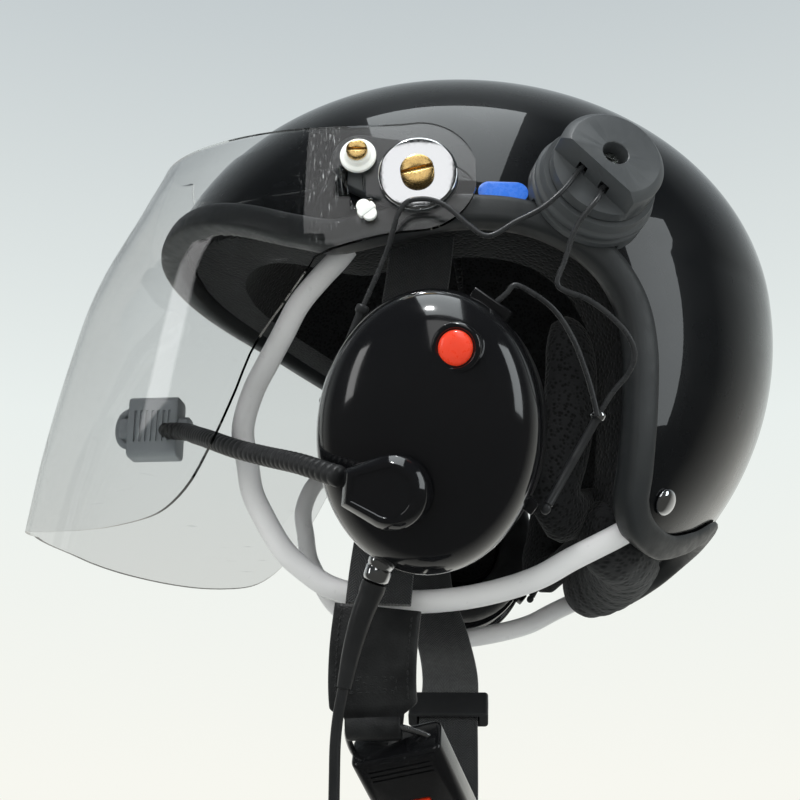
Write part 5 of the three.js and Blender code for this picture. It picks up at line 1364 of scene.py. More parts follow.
front_sleeve = wire_sleeve("front_sleeve", FRONT_SLEEVE, 2.3)
dress_pair(front_sleeve, "front_sleeve_drawn", YOKE_PAIR, "sleeve_black", sleeve_rubber, "front_sleeve")
rear_sleeve = wire_sleeve("rear_sleeve", REAR_SLEEVE, 1.8)
dress_pair(rear_sleeve, "rear_sleeve_drawn", YOKE_PAIR, "sleeve_black", sleeve_rubber, "rear_sleeve")

ferrule_profile = [(1.7, 0.5), (2.5, 0.5), (2.75, 0.9), (2.75, 2.5), (2.5, 2.9), (1.7, 2.9)]
ferrule = turned("ferrule", ferrule_profile, sleeve_place(REAR_SLEEVE), 40, 50)
dress_pair(ferrule, "rear_ferrule_ring", YOKE_PAIR, "ring_chrome", polished)
print("sleeve lengths", round(length_of(FRONT_SLEEVE), 1), round(length_of(REAR_SLEEVE), 1))

# %% [markdown]
# The ear cup is a glossy black dome, oval in plan, with fine ring lines moulded behind its rim. A
# squashed sphere would look too thin at its edge: the real dome is fuller, so each ring's scale and
# height follow a power of cosine and sine. The ring lines are real steps, since gloss shows them.

# %% Ear cup
CUP_YAW, CUP_PITCH, CUP_LEAN = map(math.radians, (14, 16, 10))
CUP_AXIS = np.array((
    math.cos(CUP_PITCH) * math.cos(CUP_YAW), -math.cos(CUP_PITCH) * math.sin(CUP_YAW), -math.sin(CUP_PITCH),
))
cup = moved(frame_at(spots((1, -0.026, -0.688)), CUP_AXIS, np.cross(UPWARD, CUP_AXIS)), turn=-CUP_LEAN)
CUP_HALF = np.array((41.0, 51.0))
CUP_DEPTH = 26.0
CUP_POWER = 2.4
CUP_SIDES = 96


def cup_ring(inset, height, scale=1.0):
    ring = circle(1, CUP_SIDES)
    return np.column_stack([ring * (CUP_HALF - inset) * scale, np.full(CUP_SIDES, height)])


def dome_height(x, y):
    r = np.hypot(np.asarray(x) / CUP_HALF[0], np.asarray(y) / CUP_HALF[1])
    return CUP_DEPTH * np.clip(1 - r ** CUP_POWER, 0, None) ** (1 / CUP_POWER)


GLOSS_BLACK = (0.006, 0.006, 0.007)
gloss = new_finish("cup_gloss", GLOSS_BLACK, 0.2, sockets={
    "Coat Weight": 0.8, "Coat Roughness": 0.05, "Specular IOR Level": 0.5,
})
uneven_roughness(gloss, noise(gloss, 90, 5), 0.08, 0.16)
mottle(gloss, in_patches(gloss, 1600, 5, 0.68, 0.8, 0.5, 30), GLOSS_BLACK, (0.15, 0.15, 0.15))
add_bump(gloss, noise(gloss, 200, 2), 0.015)

band_profile = [
    (2.3, -10), (1.7, -9.7), (1.6, -8.5), (2.2, -8.2), (2.2, -7.9), (1.6, -7.6), (1.6, -6.6), (2.5, -6.2),
    (2.5, -5.3), (1.6, -4.9), (1.6, -3.4), (2.1, -3.1), (2.1, -2.8), (1.5, -2.5), (1.4, -1.5), (0.6, -1.2),
    (0.15, -0.7),
]
SPEAKER_WELL_RADIUS = 22.4
LUG_AT = (35.4, -21.9)
cup_rings = [
    np.column_stack([circle(SPEAKER_WELL_RADIUS, CUP_SIDES), np.full(CUP_SIDES, z)]) for z in (-2.0, -10)
]
cup_rings += [cup_ring(inset, z) for inset, z in band_profile]
for rise in np.linspace(0, math.pi / 2, 34)[:-1]:
    scale, height = math.cos(rise) ** (2 / CUP_POWER), CUP_DEPTH * math.sin(rise) ** (2 / CUP_POWER)
    cup_rings.append(cup_ring(0, height, scale))
cup_dome = closed_skin("cup_dome", [carry(cup, r) for r in cup_rings], sharp=32)
hinge = block("cup_hinge", (16, 6, 5), moved(cup, 17.2, 46, -5, math.radians(-30)))
lug = block("cup_lug", (9, 5, 5), moved(cup, *LUG_AT, -7, math.atan2(LUG_AT[1], LUG_AT[0])))
for part in (hinge, lug):
    soften(part, 0.7, 3)
cup_whole = join("cup", [cup_dome, hinge, lug])
dress_pair(cup_whole, "cup_shell_moulded", CUP_PAIR, "cup_black", gloss, "cup_shell")
print("cup faces", len(cup_whole.data.polygons))

# %% [markdown]
# The ear cushion is a ring of soft leatherette over foam. It bulges on both sides of its seam, and
# short creases run across it where the skin bends round the oval. A simulation could swell it, but
# the cup and the head keep a real one in shape, so the ring's section is a formula: a soft square,
# pulled in at the seam and rippled by a few sines for the creases.

# %% Ear cushion
leather = new_finish("leatherette", (0.012, 0.012, 0.013), 0.5)
worn_softly = between(leather, noise(leather, 90, 4), 0.35, 0.65)
mottle(leather, worn_softly, (0.010, 0.010, 0.011), (0.02, 0.02, 0.021))
uneven_roughness(leather, noise(leather, 260, 3), 0.38, 0.56)
add_bump(leather, cells(leather, 1300), 0.12)
add_bump(leather, noise(leather, 120, 4), 0.35)

CUSHION_COLUMNS = 160
CUSHION_SIDES = 30
CUSHION_HALF_WIDE = 8.5
CUSHION_HALF_THICK = 8.0
CUSHION_INSET = 10.9
CUSHION_LEVEL = -18.35
CUSHION_SEAM_AT = 1.15


def cushion_rings():
    rings = []
    for i in range(CUSHION_COLUMNS):
        angle = 2 * math.pi * i / CUSHION_COLUMNS
        crease = 0.35 * math.sin(17 * angle) * math.sin(5 * angle + 1) + 0.25 * math.sin(41 * angle)
        ring = []
        for turn in np.linspace(0, 2 * math.pi, CUSHION_SIDES, endpoint=False):
            c, s = math.cos(turn), math.sin(turn)
            seam = 0.9 * math.exp(-(math.remainder(turn - CUSHION_SEAM_AT, 2 * math.pi) / 0.16) ** 2)
            wide = (CUSHION_HALF_WIDE - seam - 0.6 * crease * abs(s)) * (1 - 0.1 * max(s, 0))
            across = np.sign(c) * abs(c) ** 0.75 * wide
            up = np.sign(s) * abs(s) ** 0.8 * (CUSHION_HALF_THICK - seam)
            radius = CUP_HALF - (CUSHION_INSET - across)
            ring.append((radius[0] * math.cos(angle), radius[1] * math.sin(angle), CUSHION_LEVEL + up))
        rings.append(carry(cup, ring))
    return rings


cushion = closed_skin("cushion", cushion_rings(), looped=True, sharp=60)
for made in dress_pair(cushion, "cup_cushion_filled", CUP_PAIR, "cushion_black", leather, "cup_cushion"):
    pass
print("cushion faces", len(cushion.data.polygons))

# %% [markdown]
# Inside the cup is the speaker: a shallow cone behind a cloth-covered grille. The talk button sits
# outside on the dome, a domed red cap in a raised black ring. The dome is tilted and curved, so the
# button's height isn't typed in: it is asked of the dome's own formula, and ring and cap are turned
# parts seated there.

# %% Speaker, bezel and talk button
BUTTON_AT = (13.4, 29.5)
CAP_RADIUS = 6.2
CAP_SHOULDER = 1.1
CAP_CROWN = 2.3
speaker_profile = [
    (0, -9.65), (7, -9.65), (7.6, -9.2), (13, -8.9), (14, -9.4), (15.4, -9.65), (16.5, -8.7), (21.2, -8.65),
    (21.65, -8.2), (21.65, -6.15), (13.2, -2.65), (0, -2.65),
]
speaker = turned("speaker", speaker_profile, cup, 64, 40)
dress_pair(speaker, "speaker_grille", CUP_PAIR, "speaker_dark", spacer_mesh, "speaker")

seat = float(dome_height(*BUTTON_AT))
button_place = moved(cup, *BUTTON_AT)
bezel_profile = [
    (6.55, seat - 6), (8.8, seat - 6), (8.8, seat + 0.9), (8.6, seat + 1.5), (8.0, seat + 2.1),
    (7.4, seat + 2.2), (6.8, seat + 1.9), (6.55, seat + 1.5),
]
bezel = turned("ptt_bezel_turned", bezel_profile, button_place, 72, 40)
dress(bezel, "left_cup", "bezel_black", gloss, "ptt_bezel")
red_cap = new_finish("red_cap", (0.85, 0.05, 0.014), 0.25, sockets={
    "Coat Weight": 0.7, "Coat Roughness": 0.05, "Subsurface Weight": 0.1, "Subsurface Scale": 0.001,
})
mottle(red_cap, noise(red_cap, 140, 3), (0.88, 0.055, 0.015), (0.74, 0.035, 0.01))
uneven_roughness(red_cap, noise(red_cap, 500, 4), 0.22, 0.4)
add_bump(red_cap, noise(red_cap, 1500, 2), 0.03)
shoulder = seat + CAP_SHOULDER
cap_profile = [(0, seat - 3), (CAP_RADIUS, seat - 3), (CAP_RADIUS, shoulder)]
for t in np.linspace(0.15, 1.5, 12):
    cap_profile.append((CAP_RADIUS * math.cos(t) ** 0.8, shoulder + CAP_CROWN * math.sin(t)))
cap = turned("ptt_button_cap", cap_profile, button_place, 64, 40)
dress(cap, "talk_button", "button_red", red_cap, "ptt_button")
print("button seat", round(seat, 2))

# %% [markdown]
# The boom turns on the cup. Its housing is a round block with a blunt nose, a broad chamfer round
# the top and an underside hollowed to the dome. Cutting that hollow with the dome would fit one
# place only, and the boom has to clear the dome through its whole swing. So the underside takes the
# greatest height that the dome reaches below it at any angle.

# %% Boom housing
BOOM = np.array((-2.0, -20.0))
BOOM_TOP = 36.3
BOOM_RADIUS = 12.6
BOOM_NOSE = 17.0
BOOM_NOSE_HALF = 6.2
BOOM_SWING = 35
BOOM_ROOM = 0.45
BOOM_LOWEST = 22.8


def boom_outline(inset):
    angles = np.radians(np.linspace(-118, 118, 25))
    nose, half = BOOM_NOSE - inset, BOOM_NOSE_HALF - inset * 0.5
    round_end = (BOOM_RADIUS - inset) * np.column_stack([np.cos(angles), np.sin(angles)])
    return np.vstack([round_end, [(-nose, half), (-nose, -half)]])


def room_under(points):
    """The height that clears the dome under these points, wherever the boom has turned."""
    heights = []
    for swing in np.radians(np.linspace(0, BOOM_SWING, 8)):
        c, s = math.cos(swing), math.sin(swing)
        at = points @ np.array([[c, s], [-s, c]]) + BOOM
        heights.append(dome_height(*at.T))
    return np.maximum(np.max(heights, axis=0) + BOOM_ROOM, BOOM_LOWEST)


def boom_ring(outline, heights):
    return np.column_stack([outline + BOOM, np.broadcast_to(heights, len(outline))])


full = boom_outline(0)
boom_rings = [boom_ring(full * scale, room_under(full * scale)) for scale in (0.02, 0.25, 0.5, 0.75, 0.97)]
boom_rings.append(boom_ring(full, room_under(full) + 0.3))
boom_steps = ((0, 3.2), (0.25, 2.7), (2.2, 0.3), (2.6, 0), (4.2, 0), (4.5, 0.4), (4.9, 0.4))
boom_rings += [boom_ring(boom_outline(inset), BOOM_TOP - down) for inset, down in boom_steps]
housing = closed_skin("boom_housing_moulded", [carry(cup, r) for r in boom_rings], sharp=28)
dress(housing, "left_boom", "boom_black", gloss, "boom_housing")
print("boom housing rings", len(boom_rings))

# %% [markdown]
# A gooseneck of ribbed black tube reaches from the housing to the mouth. The ribs could be bump in
# the finish, but they show in its outline against the visor. So they are part of the surface: the
# radius swells and falls 44 times along the way.

# %% Gooseneck
NECK_RADIUS = 3.4
NECK_RIB_HEIGHT = 0.45
RINGS_PER_RIB = 6
NECK = [
    (1.155, -0.235, -0.865), (1.113, -0.278, -0.839), (1.025, -0.353, -0.789), (0.875, -0.468, -0.721),
    (0.767, -0.565, -0.665), (0.692, -0.623, -0.625), (0.583, -0.686, -0.574), (0.458, -0.75, -0.522),
    (0.375, -0.797, -0.485), (0.28, -0.888, -0.451),
]
NECK_RIBS = 44
neck_line = smooth(spots(NECK), NECK_RIBS * RINGS_PER_RIB + 1)
rib_phase = np.arange(len(neck_line)) / RINGS_PER_RIB
neck_radii = NECK_RADIUS + NECK_RIB_HEIGHT * np.abs(np.sin(math.pi * rib_phase)) ** 0.7
gooseneck = closed_skin("boom_gooseneck_ribbed", tube_rings(neck_line, neck_radii, 28, UPWARD), sharp=70)
neck_rubber = moulded("neck_rubber", (0.012, 0.012, 0.013), (0.022, 0.022, 0.023), (0.32, 0.5), 1600, 0.03)
dress(gooseneck, "left_boom", "neck_black", neck_rubber, "boom_gooseneck")
print("gooseneck length", round(length_of(neck_line)))

# %% [markdown]
# The microphone is a small capsule: an upright block with sound slots, a bar across it, and a soft
# U-shaped bumper that keeps it off the lips. Behind the visor only its outline and its slots can be
# read, so the three shapes are modelled plainly, the slots are cut deep enough to be dark, and the
# parts are joined as one object.

# %% Microphone
MIC = spots((0.25, -0.923, -0.437))
mic_plastic = moulded("mic_plastic", (0.28, 0.3, 0.32), (0.36, 0.38, 0.4), (0.45, 0.6), 2000, 0.06)
mic_place = frame_at(MIC, REARWARD, OUTWARD)
MIC_EDGE = 0.8


def rounded_block(name, size, radius, place):
    x, y, z = np.asarray(size, float) / 2
    return soften(prism(name, rounded_rectangle(x, y, radius, 5), place, -z, z), MIC_EDGE, 3, 40)


mic_block = rounded_block("mic_block", (14, 27, 22), 3, mic_place)
slots = [block("slot_cutter", (4, 14, 1.1), moved(mic_place, 8, 0, 2.5 * step)) for step in range(-3, 4)]
sharpen(carve(mic_block, *slots))
mic_bar = rounded_block("mic_bar", (10, 9.5, 31), 3, mic_place)
bumper_bends = [
    (2, -3, 8.5), (2, -10, 8.2), (1.5, -14.6, 6), (1, -16.4, 0), (1.5, -14.6, -6), (2, -10, -8.2),
    (2, -3, -8.5),
]
mic_bumper = tube("mic_bumper", MIC + smooth(bumper_bends, 50), 1.7, 16)
mic = join("microphone_capsule", [mic_block, mic_bar, mic_bumper])
dress(mic, "left_boom", "mic_grey", mic_plastic, "microphone")
print("microphone at", np.round(MIC, 1))

# %% [markdown]
# On each side a bent tube guards the chin, wrapped in a smooth pale grey sleeve. It leaves the brow
# behind the visor and ends behind the flap. Blender could bevel a curve for it; the same tube
# function as for the wires does it here, with enough sides to stay round in close views.

# %% Chin guards
GUARD_RADIUS = 4.5
GUARD = [
    (0.83, -0.216, 0.11), (0.83, -0.273, -0.004), (0.825, -0.338, -0.092), (0.808, -0.398, -0.175),
    (0.787, -0.444, -0.274), (0.746, -0.49, -0.356), (0.679, -0.543, -0.442), (0.646, -0.573, -0.563),
    (0.629, -0.559, -0.678), (0.617, -0.544, -0.776), (0.608, -0.512, -0.857), (0.592, -0.451, -0.975),
    (0.571, -0.389, -1.041), (0.558, -0.329, -1.088), (0.558, -0.22, -1.125), (0.567, -0.104, -1.143),
    (0.567, 0.031, -1.135), (0.583, 0.153, -1.109), (0.608, 0.253, -1.073), (0.625, 0.339, -1.02),
    (0.642, 0.462, -0.95), (0.653, 0.525, -0.91),
]
guard_sleeve = moulded("guard_sleeve", (0.7, 0.68, 0.69), (0.78, 0.76, 0.77), (0.26, 0.4), 900, 0.05,
                       sockets={"Coat Weight": 0.2, "Coat Roughness": 0.15})
guard_line = smooth(spots(GUARD), 220)
guard = tube("guard", guard_line, GUARD_RADIUS, 32)
dress_pair(guard, "chin_guard_sleeved", SHELL_PAIR, "guard_grey", guard_sleeve, "chin_guard")
print("guard length", round(length_of(guard_line)))

# %% [markdown]
# The chin strap is 25 mm nylon webbing. Its weave runs in chevrons along the length. A texture laid
# in space would slide off as the strap turns, and weaving real threads would cost too many faces. So
# the finish needs to know how far along and across the strap a point lies: the strap's mesh carries
# that as a UV map in millimetres.

# %% Webbing
CHEVRON_HALF = 3.1
RIB_TURNS = 5.2
THREAD_TURNS = 9.5
webbing = new_finish("webbing", (0.012, 0.012, 0.013), 0.45, sockets={"Sheen Weight": 0.3})
run, across, _ = add_node(webbing, "ShaderNodeSeparateXYZ", {"Vector": place_of(webbing, "UV")}).outputs
slant = maths(webbing, "ADD", run, maths(webbing, "PINGPONG", across, CHEVRON_HALF))
rib = maths(webbing, "SINE", maths(webbing, "MULTIPLY", slant, RIB_TURNS))
thread = maths(webbing, "SINE", maths(webbing, "MULTIPLY", across, THREAD_TURNS))
woven = maths(webbing, "ADD", maths(webbing, "MULTIPLY", rib, 0.6), maths(webbing, "MULTIPLY", thread, 0.4))
mottle(webbing, between(webbing, woven, -0.8, 0.9), (0.006, 0.006, 0.007), (0.03, 0.031, 0.034))
uneven_roughness(webbing, noise(webbing, 300, 4), 0.34, 0.6)
add_bump(webbing, woven, 0.14)
add_bump(webbing, noise(webbing, 3000, 2), 0.06)


def lay_uv(piece, along, across):
    """Store how far along and across each point lies, in millimetres."""
    layer = piece.data.uv_layers.new(name="run")
    places = np.column_stack([along, across])
    corners = np.empty(len(piece.data.loops), int)
    piece.data.loops.foreach_get("vertex_index", corners)
    layer.data.foreach_set("uv", places[corners].ravel())


def strap(name, line, section):
    """A band that has how far along and across each point lies stored on it."""
    line = np.asarray(line)
    piece = band(name, line, section)
    gone = np.concatenate([[0], np.cumsum(np.linalg.norm(np.diff(line, axis=0), axis=1))])
    widths = [section(i / (len(line) - 1))[:, 1] for i in range(len(line))]
    lay_uv(piece, np.repeat(gone, len(widths[0])), np.concatenate(widths))
    return piece


WEB_SECTION = rounded_rectangle(0.9, 12.5, 0.7, 3)
STRAP = [
    (0.84, -0.045, 0.085), (0.8, -0.06, -0.05), (0.74, -0.09, -0.25), (0.66, -0.125, -0.55),
    (0.6, -0.155, -0.85), (0.61, -0.178, -1.05), (0.648, -0.184, -1.162),
]
STRAP_RIGHT = [
    (-0.56, -0.11, -0.92), (-0.42, -0.05, -1.16), (-0.2, -0.02, -1.33), (0, -0.02, -1.48),
    (0.09, -0.02, -1.64), (0.17, -0.022, -1.79), (0.24, -0.03, -1.876), (0.29, -0.042, -1.85),
    (0.32, -0.054, -1.81),
]
left_line = smooth(spots(STRAP), 110)
right_line = smooth(np.vstack([spots(STRAP[:4]) * (-1, 1, 1), spots(STRAP_RIGHT)]), 240)
for side, line in (("left", left_line), ("right", right_line)):
    woven_strap = strap(f"strap_{side}_woven", line, lambda share: WEB_SECTION)
    dress(woven_strap, "shell", "web_black", webbing, f"strap_{side}")
print("strap lengths", round(length_of(left_line)), round(length_of(right_line)))

# %% [markdown]
# On the left the webbing ends in a padded leatherette tab, which narrows to a loop that folds round
# the steel ring. It could be swelled by cloth simulation; as it is only 5 mm thick and sewn down all
# round, a section that changes along the strap does the same: crowned in the middle, pinched along
# its stitching, and thin where it folds.

# %% Strap pad
PAD_HALF_THICK = 2.5
PAD_HALF_WIDE = 16.5
FOLD_THINNER = 1.6
FOLD_NARROWER = 6.3
PAD = spots([(0.652, -0.184, -1.172), (0.648, -0.196, -1.3), (0.632, -0.2, -1.42), (0.612, -0.196, -1.51)])
pad_line = smooth(PAD, 60)
pad_ends = smooth(PAD, 9)
pad_run = unit(pad_ends[-1] - pad_ends[-2])
pad_out = unit(np.cross(REARWARD, pad_run))
FOLD_RADIUS = 4.1
FOLD_AHEAD = 3.2
fold_bar = pad_line[-1] + pad_run * FOLD_AHEAD - pad_out * FOLD_RADIUS
fold = [
    fold_bar + pad_out * FOLD_RADIUS * math.cos(t) + pad_run * FOLD_RADIUS * math.sin(t)
    for t in np.linspace(0.1, 1.3 * math.pi, 40)
]
pad_points = np.vstack([pad_line, fold])
fold_start = len(pad_line) / len(pad_points)


def dense_sides(section, steps):
    """The same closed outline with its long sides divided, so that it can carry a crown."""
    ahead = np.roll(section, -1, axis=0)
    pieces = []
    for a, b in zip(section, ahead):
        count = steps if np.linalg.norm(b - a) > 6 else 1
        pieces.append(a + (b - a) * np.linspace(0, 1, count, endpoint=False)[:, None])
    return np.vstack(pieces)


def pad_section(share):
    """The pad's outline at a share of its run: ease is 0 on the pad and 1 on the fold."""
    at = min(max((share - fold_start + 0.07) / 0.09, 0), 1)
    ease = at * at * (3 - 2 * at)
    start = min(share / 0.05, 1) ** 0.5
    half_thick = (PAD_HALF_THICK - FOLD_THINNER * ease) * (0.55 + 0.45 * start)
    half_wide = PAD_HALF_WIDE - FOLD_NARROWER * ease
    ring = dense_sides(rounded_rectangle(half_thick, half_wide, half_thick * 0.9, 4), 12)
    edge = (np.abs(ring[:, 1]) - half_wide + 3.2) / 0.9
    profile = 0.9 + 0.1 * (1 - (ring[:, 1] / half_wide) ** 2) - 0.14 * (1 - ease) * np.exp(-edge ** 2)
    return np.column_stack([ring[:, 0] * profile, ring[:, 1]])


pad = strap("strap_pad_sewn", pad_points, pad_section)
dress(pad, "shell", "pad_black", leather, "strap_pad")
print("pad length", round(length_of(pad_line)))

# %% [markdown]
# The pad is stitched along both edges and closed by a box of stitches with a cross in it. A row of
# stitches could be a bump, but each real one is a short thread that catches the light, so each is a
# tiny tube that dips into the leather at both ends. All of them are joined as one object.

# %% Stitches
STITCH_RADIUS = 0.32
STITCH_PITCH = 2.6
STITCH_GAP = 0.8
SEAM_SIDE = 13.3
SEAM_POINTS = 400
STITCH_LEVEL = 2.42
TACK_HALF = 9.0
thread_finish = new_finish("thread", (0.012, 0.012, 0.013), 0.6, sockets={"Sheen Weight": 0.15})
twist = add_node(thread_finish, "ShaderNodeTexWave", {"Vector": place_of(thread_finish), "Scale": 900.0},
                 bands_direction="DIAGONAL").outputs["Fac"]
mottle(thread_finish, twist, (0.007, 0.007, 0.008), (0.018, 0.018, 0.019))
add_bump(thread_finish, twist, 0.06)


def stitches(name, lines, out):
    """A row of short threads along each line, bowed outwards."""
    bow = np.array([-0.35, 0.1, 0.22, 0.1, -0.35]) * STITCH_RADIUS * 2
    radii = np.array([0.5, 0.95, 1, 0.95, 0.5]) * STITCH_RADIUS
    half_gap = STITCH_GAP / STITCH_PITCH / 2
    made = []
    for line in lines:
        dense = walk(np.asarray(line, float), SEAM_POINTS)
        count = max(int(length_of(dense) / STITCH_PITCH), 1)
        for i in range(count):
            shares = np.linspace(i + half_gap, i + 1 - half_gap, 5) / count
            at = [dense[int(share * (SEAM_POINTS - 1))] for share in shares]
            lifted = np.array(at) + bow[:, None] * out
            made.append(closed_skin(name, tube_rings(lifted, radii, 8), sharp=60))
    return join(name, made)


pad_frames = band_frames(pad_points)
surface = [p - across * STITCH_LEVEL for p, (across, _) in zip(pad_points, pad_frames)]
rows = []
for side in (-SEAM_SIDE, SEAM_SIDE):
    rows.append([surface[i] + pad_frames[i][1] * side for i in range(3, 52)])
tack_side = pad_frames[44][1] * TACK_HALF
a, b, c, d = (surface[at] + side * tack_side for at, side in ((38, -1), (38, 1), (46, 1), (46, -1)))
rows += [[a, b], [c, d], [b, c], [d, a], [a, c], [b, d]]
pad_stitches = stitches("pad_stitches", rows, -pad_out)
dress(pad_stitches, "shell", "pad_black", thread_finish)
print("stitch rows", len(rows))

# %% [markdown]
# The buckle is a glossy moulded block with broad rounded corners. The webbing goes in at its mouth,
# and a red lever in a pocket on its face lets it go. A bevelled cube would be close, but the mouth
# and the pocket are real openings: the block is rounded first and then cut, so that their edges stay
# crisp, as in a mould.

# %% Buckle and lever
BUCKLE_BLACK = (0.007, 0.007, 0.008)
buckle = frame_at(spots((0.448, -0.09, -1.727)), (-0.72, 0.28, -0.63), REARWARD)
buckle_gloss = new_finish("buckle_gloss", BUCKLE_BLACK, 0.16, sockets={
    "Coat Weight": 0.5, "Coat Roughness": 0.05,
})
uneven_roughness(buckle_gloss, noise(buckle_gloss, 160, 5), 0.1, 0.26)
rubbed = in_patches(buckle_gloss, 900, 5, 0.62, 0.78, 0.6, 40)
mottle(buckle_gloss, rubbed, BUCKLE_BLACK, (0.09, 0.09, 0.095))
add_bump(buckle_gloss, noise(buckle_gloss, 240, 2), 0.02)

body = prism("buckle", rounded_rectangle(17.5, 7.5, 3.5, 6), buckle, -25, 25)
soften(body, 1.6, 3, 60)
buckle_cuts = [
    block("pocket_cutter", (11.7, 6.9, 24.4), moved(buckle, 0, 7.2, 10)),
    block("mouth_cutter", (26.6, 5.4, 20), moved(buckle, 0, -2.4, 25)),
]
ridges = [block("ridge_cutter", (24, 1.2, 0.9), moved(buckle, 0, 7.7, z)) for z in (-20, -17.6, -15.2)]
sharpen(carve(body, *buckle_cuts, *ridges), 32)
dress(body, "shell", "buckle_black", buckle_gloss, "buckle_body")

lever = prism("lever", rounded_rectangle(5.5, 1.7, 0.9, 4), moved(buckle, 0, 7.2), -1, 21)
soften(lever, 0.5, 3, 50)
grips = [block("grip_cutter", (8, 0.9, 0.7), moved(buckle, 0, 8.95, z)) for z in (13, 14.8, 16.6, 18.4)]
sharpen(carve(lever, *grips))
dress(lever, "buckle_catch", "lever_red", red_cap, "buckle_lever")
print("buckle at", np.round(buckle[:3, 3], 1))

# %% [markdown]
# A ring of bent steel wire joins the pad's fold to the buckle, and on the other strap a slider sets
# the length. A torus would be round, and this ring isn't: it is a closed curve through its four
# corners, rounded there as bent wire is. The slider is a rounded block with a slot right through it.

# %% Ring and slider
RING_CORNER_SIDE = 9.3
RING_WIRE_RADIUS = 1.2
SLIDER_SHARE = 0.75
LOOP_TENSION = 0.35
LOOP_STEPS = 24
wire_steel = new_finish("wire_steel", (0.68, 0.68, 0.69), 0.18, 1.0)
uneven_roughness(wire_steel, noise(wire_steel, 500, 4), 0.1, 0.3)
add_bump(wire_steel, noise(wire_steel, 900, 3), 0.03)


def closed_loop(corners):
    """A smooth closed line through these corners."""
    corners = np.asarray(corners, float)
    points = []
    for i in range(len(corners)):
        p0, p1, p2, p3 = (corners[(i + k) % len(corners)] for k in (-1, 0, 1, 2))
        m1, m2 = LOOP_TENSION * (p2 - p0), LOOP_TENSION * (p3 - p1)
        for t in np.linspace(0, 1, LOOP_STEPS, endpoint=False):
            points.append((2 * t**3 - 3 * t**2 + 1) * p1 + (t**3 - 2 * t**2 + t) * m1
                          + (3 * t**2 - 2 * t**3) * p2 + (t**3 - t**2) * m2)
    return np.array(points)


def wire_loop(name, loop, radius, sides):
    normal = unit(np.cross(loop[len(loop) // 4] - loop[0], loop[len(loop) // 2] - loop[0]))
    along = np.roll(loop, -1, axis=0) - np.roll(loop, 1, axis=0)
    flat = np.cross(along, normal)
    flat /= np.linalg.norm(flat, axis=1)[:, None]
    up = np.cross(flat, along)
    up /= np.linalg.norm(up, axis=1)[:, None]
    ring = circle(radius, sides)
    rings = loop[:, None] + ring[None, :, :1] * flat[:, None] + ring[None, :, 1:] * up[:, None]
    return closed_skin(name, rings, looped=True, sharp=60)


ring_corners = [
    fold_bar - REARWARD * RING_CORNER_SIDE, fold_bar + REARWARD * RING_CORNER_SIDE,
    *carry(buckle, [(15, 0, -20), (-15, 0, -20)]),
]
ring = wire_loop("strap_ring_bent", closed_loop(ring_corners), RING_WIRE_RADIUS, 16)
dress(ring, "shell", "ring_steel", wire_steel, "strap_ring")

slider_at = round(SLIDER_SHARE * (len(right_line) - 1))
slider_run = right_line[slider_at + 4] - right_line[slider_at - 4]
slider_place = frame_at(right_line[slider_at], slider_run, REARWARD)
slider_plastic = moulded(
    "slider_plastic", (0.018, 0.018, 0.019), (0.028, 0.028, 0.03), (0.35, 0.5), 2000, 0.04,
)
slider = prism("slider", rounded_rectangle(17, 3.5, 1.6, 5), slider_place, -7.5, 7.5)
soften(slider, 0.7, 3, 50)
sharpen(carve(slider, block("slider_cutter", (26.6, 4.2, 30), slider_place)))
dress(slider, "shell", "slider_black", slider_plastic, "strap_slider")
print("slider at", np.round(slider_place[:3, 3], 1))

# %% [markdown]
# The last small parts are the domed rivet on each flap and a small blank label on the shell. The
# label could be a coloured patch in the lacquer, but a real one is a film with an edge. So it is a
# thin skin whose points are lifted off the dome along its own slope.

# %% Rivets and label
rivet_y, rivet_z = 0.589 * FRONT, -0.852 * CROWN
rivet_point = np.array((float(surface_x(rivet_y, rivet_z)), rivet_y, rivet_z))
rivet_place = frame_at(rivet_point, surface_normals(rivet_point), UPWARD)
rivet_profile = [
    (0, -4.6), (2, -4.6), (2, 0.1), (5.1, 0.1), (5.3, 0.4), (5.25, 0.8), (4.7, 1.5), (3.7, 2.05),
    (2.2, 2.4), (0, 2.5),
]
rivet = turned("rivet", rivet_profile, rivet_place, 64, 60)
dress_pair(rivet, "strap_rivet_domed", SHELL_PAIR, "rivet_steel", polished, "strap_rivet")

film = new_finish("label_film", (0.03, 0.17, 0.72), 0.25, sockets={
    "Coat Weight": 0.6, "Coat Roughness": 0.08,
})
mottle(film, noise(film, 240, 4), (0.035, 0.18, 0.75), (0.025, 0.14, 0.62))
uneven_roughness(film, noise(film, 600, 3), 0.2, 0.36)
add_bump(film, noise(film, 260, 2), 0.02)

LABEL_MIDDLE = np.array((25.0, 14.8))
FILM_TOP = 0.22
label_rings = []
film_steps = [(scale, FILM_TOP) for scale in (0.02, 0.3, 0.6, 0.85, 0.97)] + [(1.0, 0.14), (1.0, -0.2)]
for scale, lift in film_steps:
    outline = rounded_rectangle(9.5, 4.5, 4.4, 8) * scale + LABEL_MIDDLE
    points = np.column_stack([surface_x(*outline.T), outline])
    label_rings.append(points + surface_normals(points) * lift)
label = closed_skin("blank_label", label_rings, sharp=50)
dress(label, "shell", "shell_black", film)
print("rivet at", np.round(rivet_point, 1))

# %% [markdown]
# The set is plain: a pale floor and soft boxes as area lights. One large lamp would light the helmet
# too, but a glossy black object is seen by what it reflects, so each box is placed for the shape
# that it draws on the lacquer, the cup or the washer.

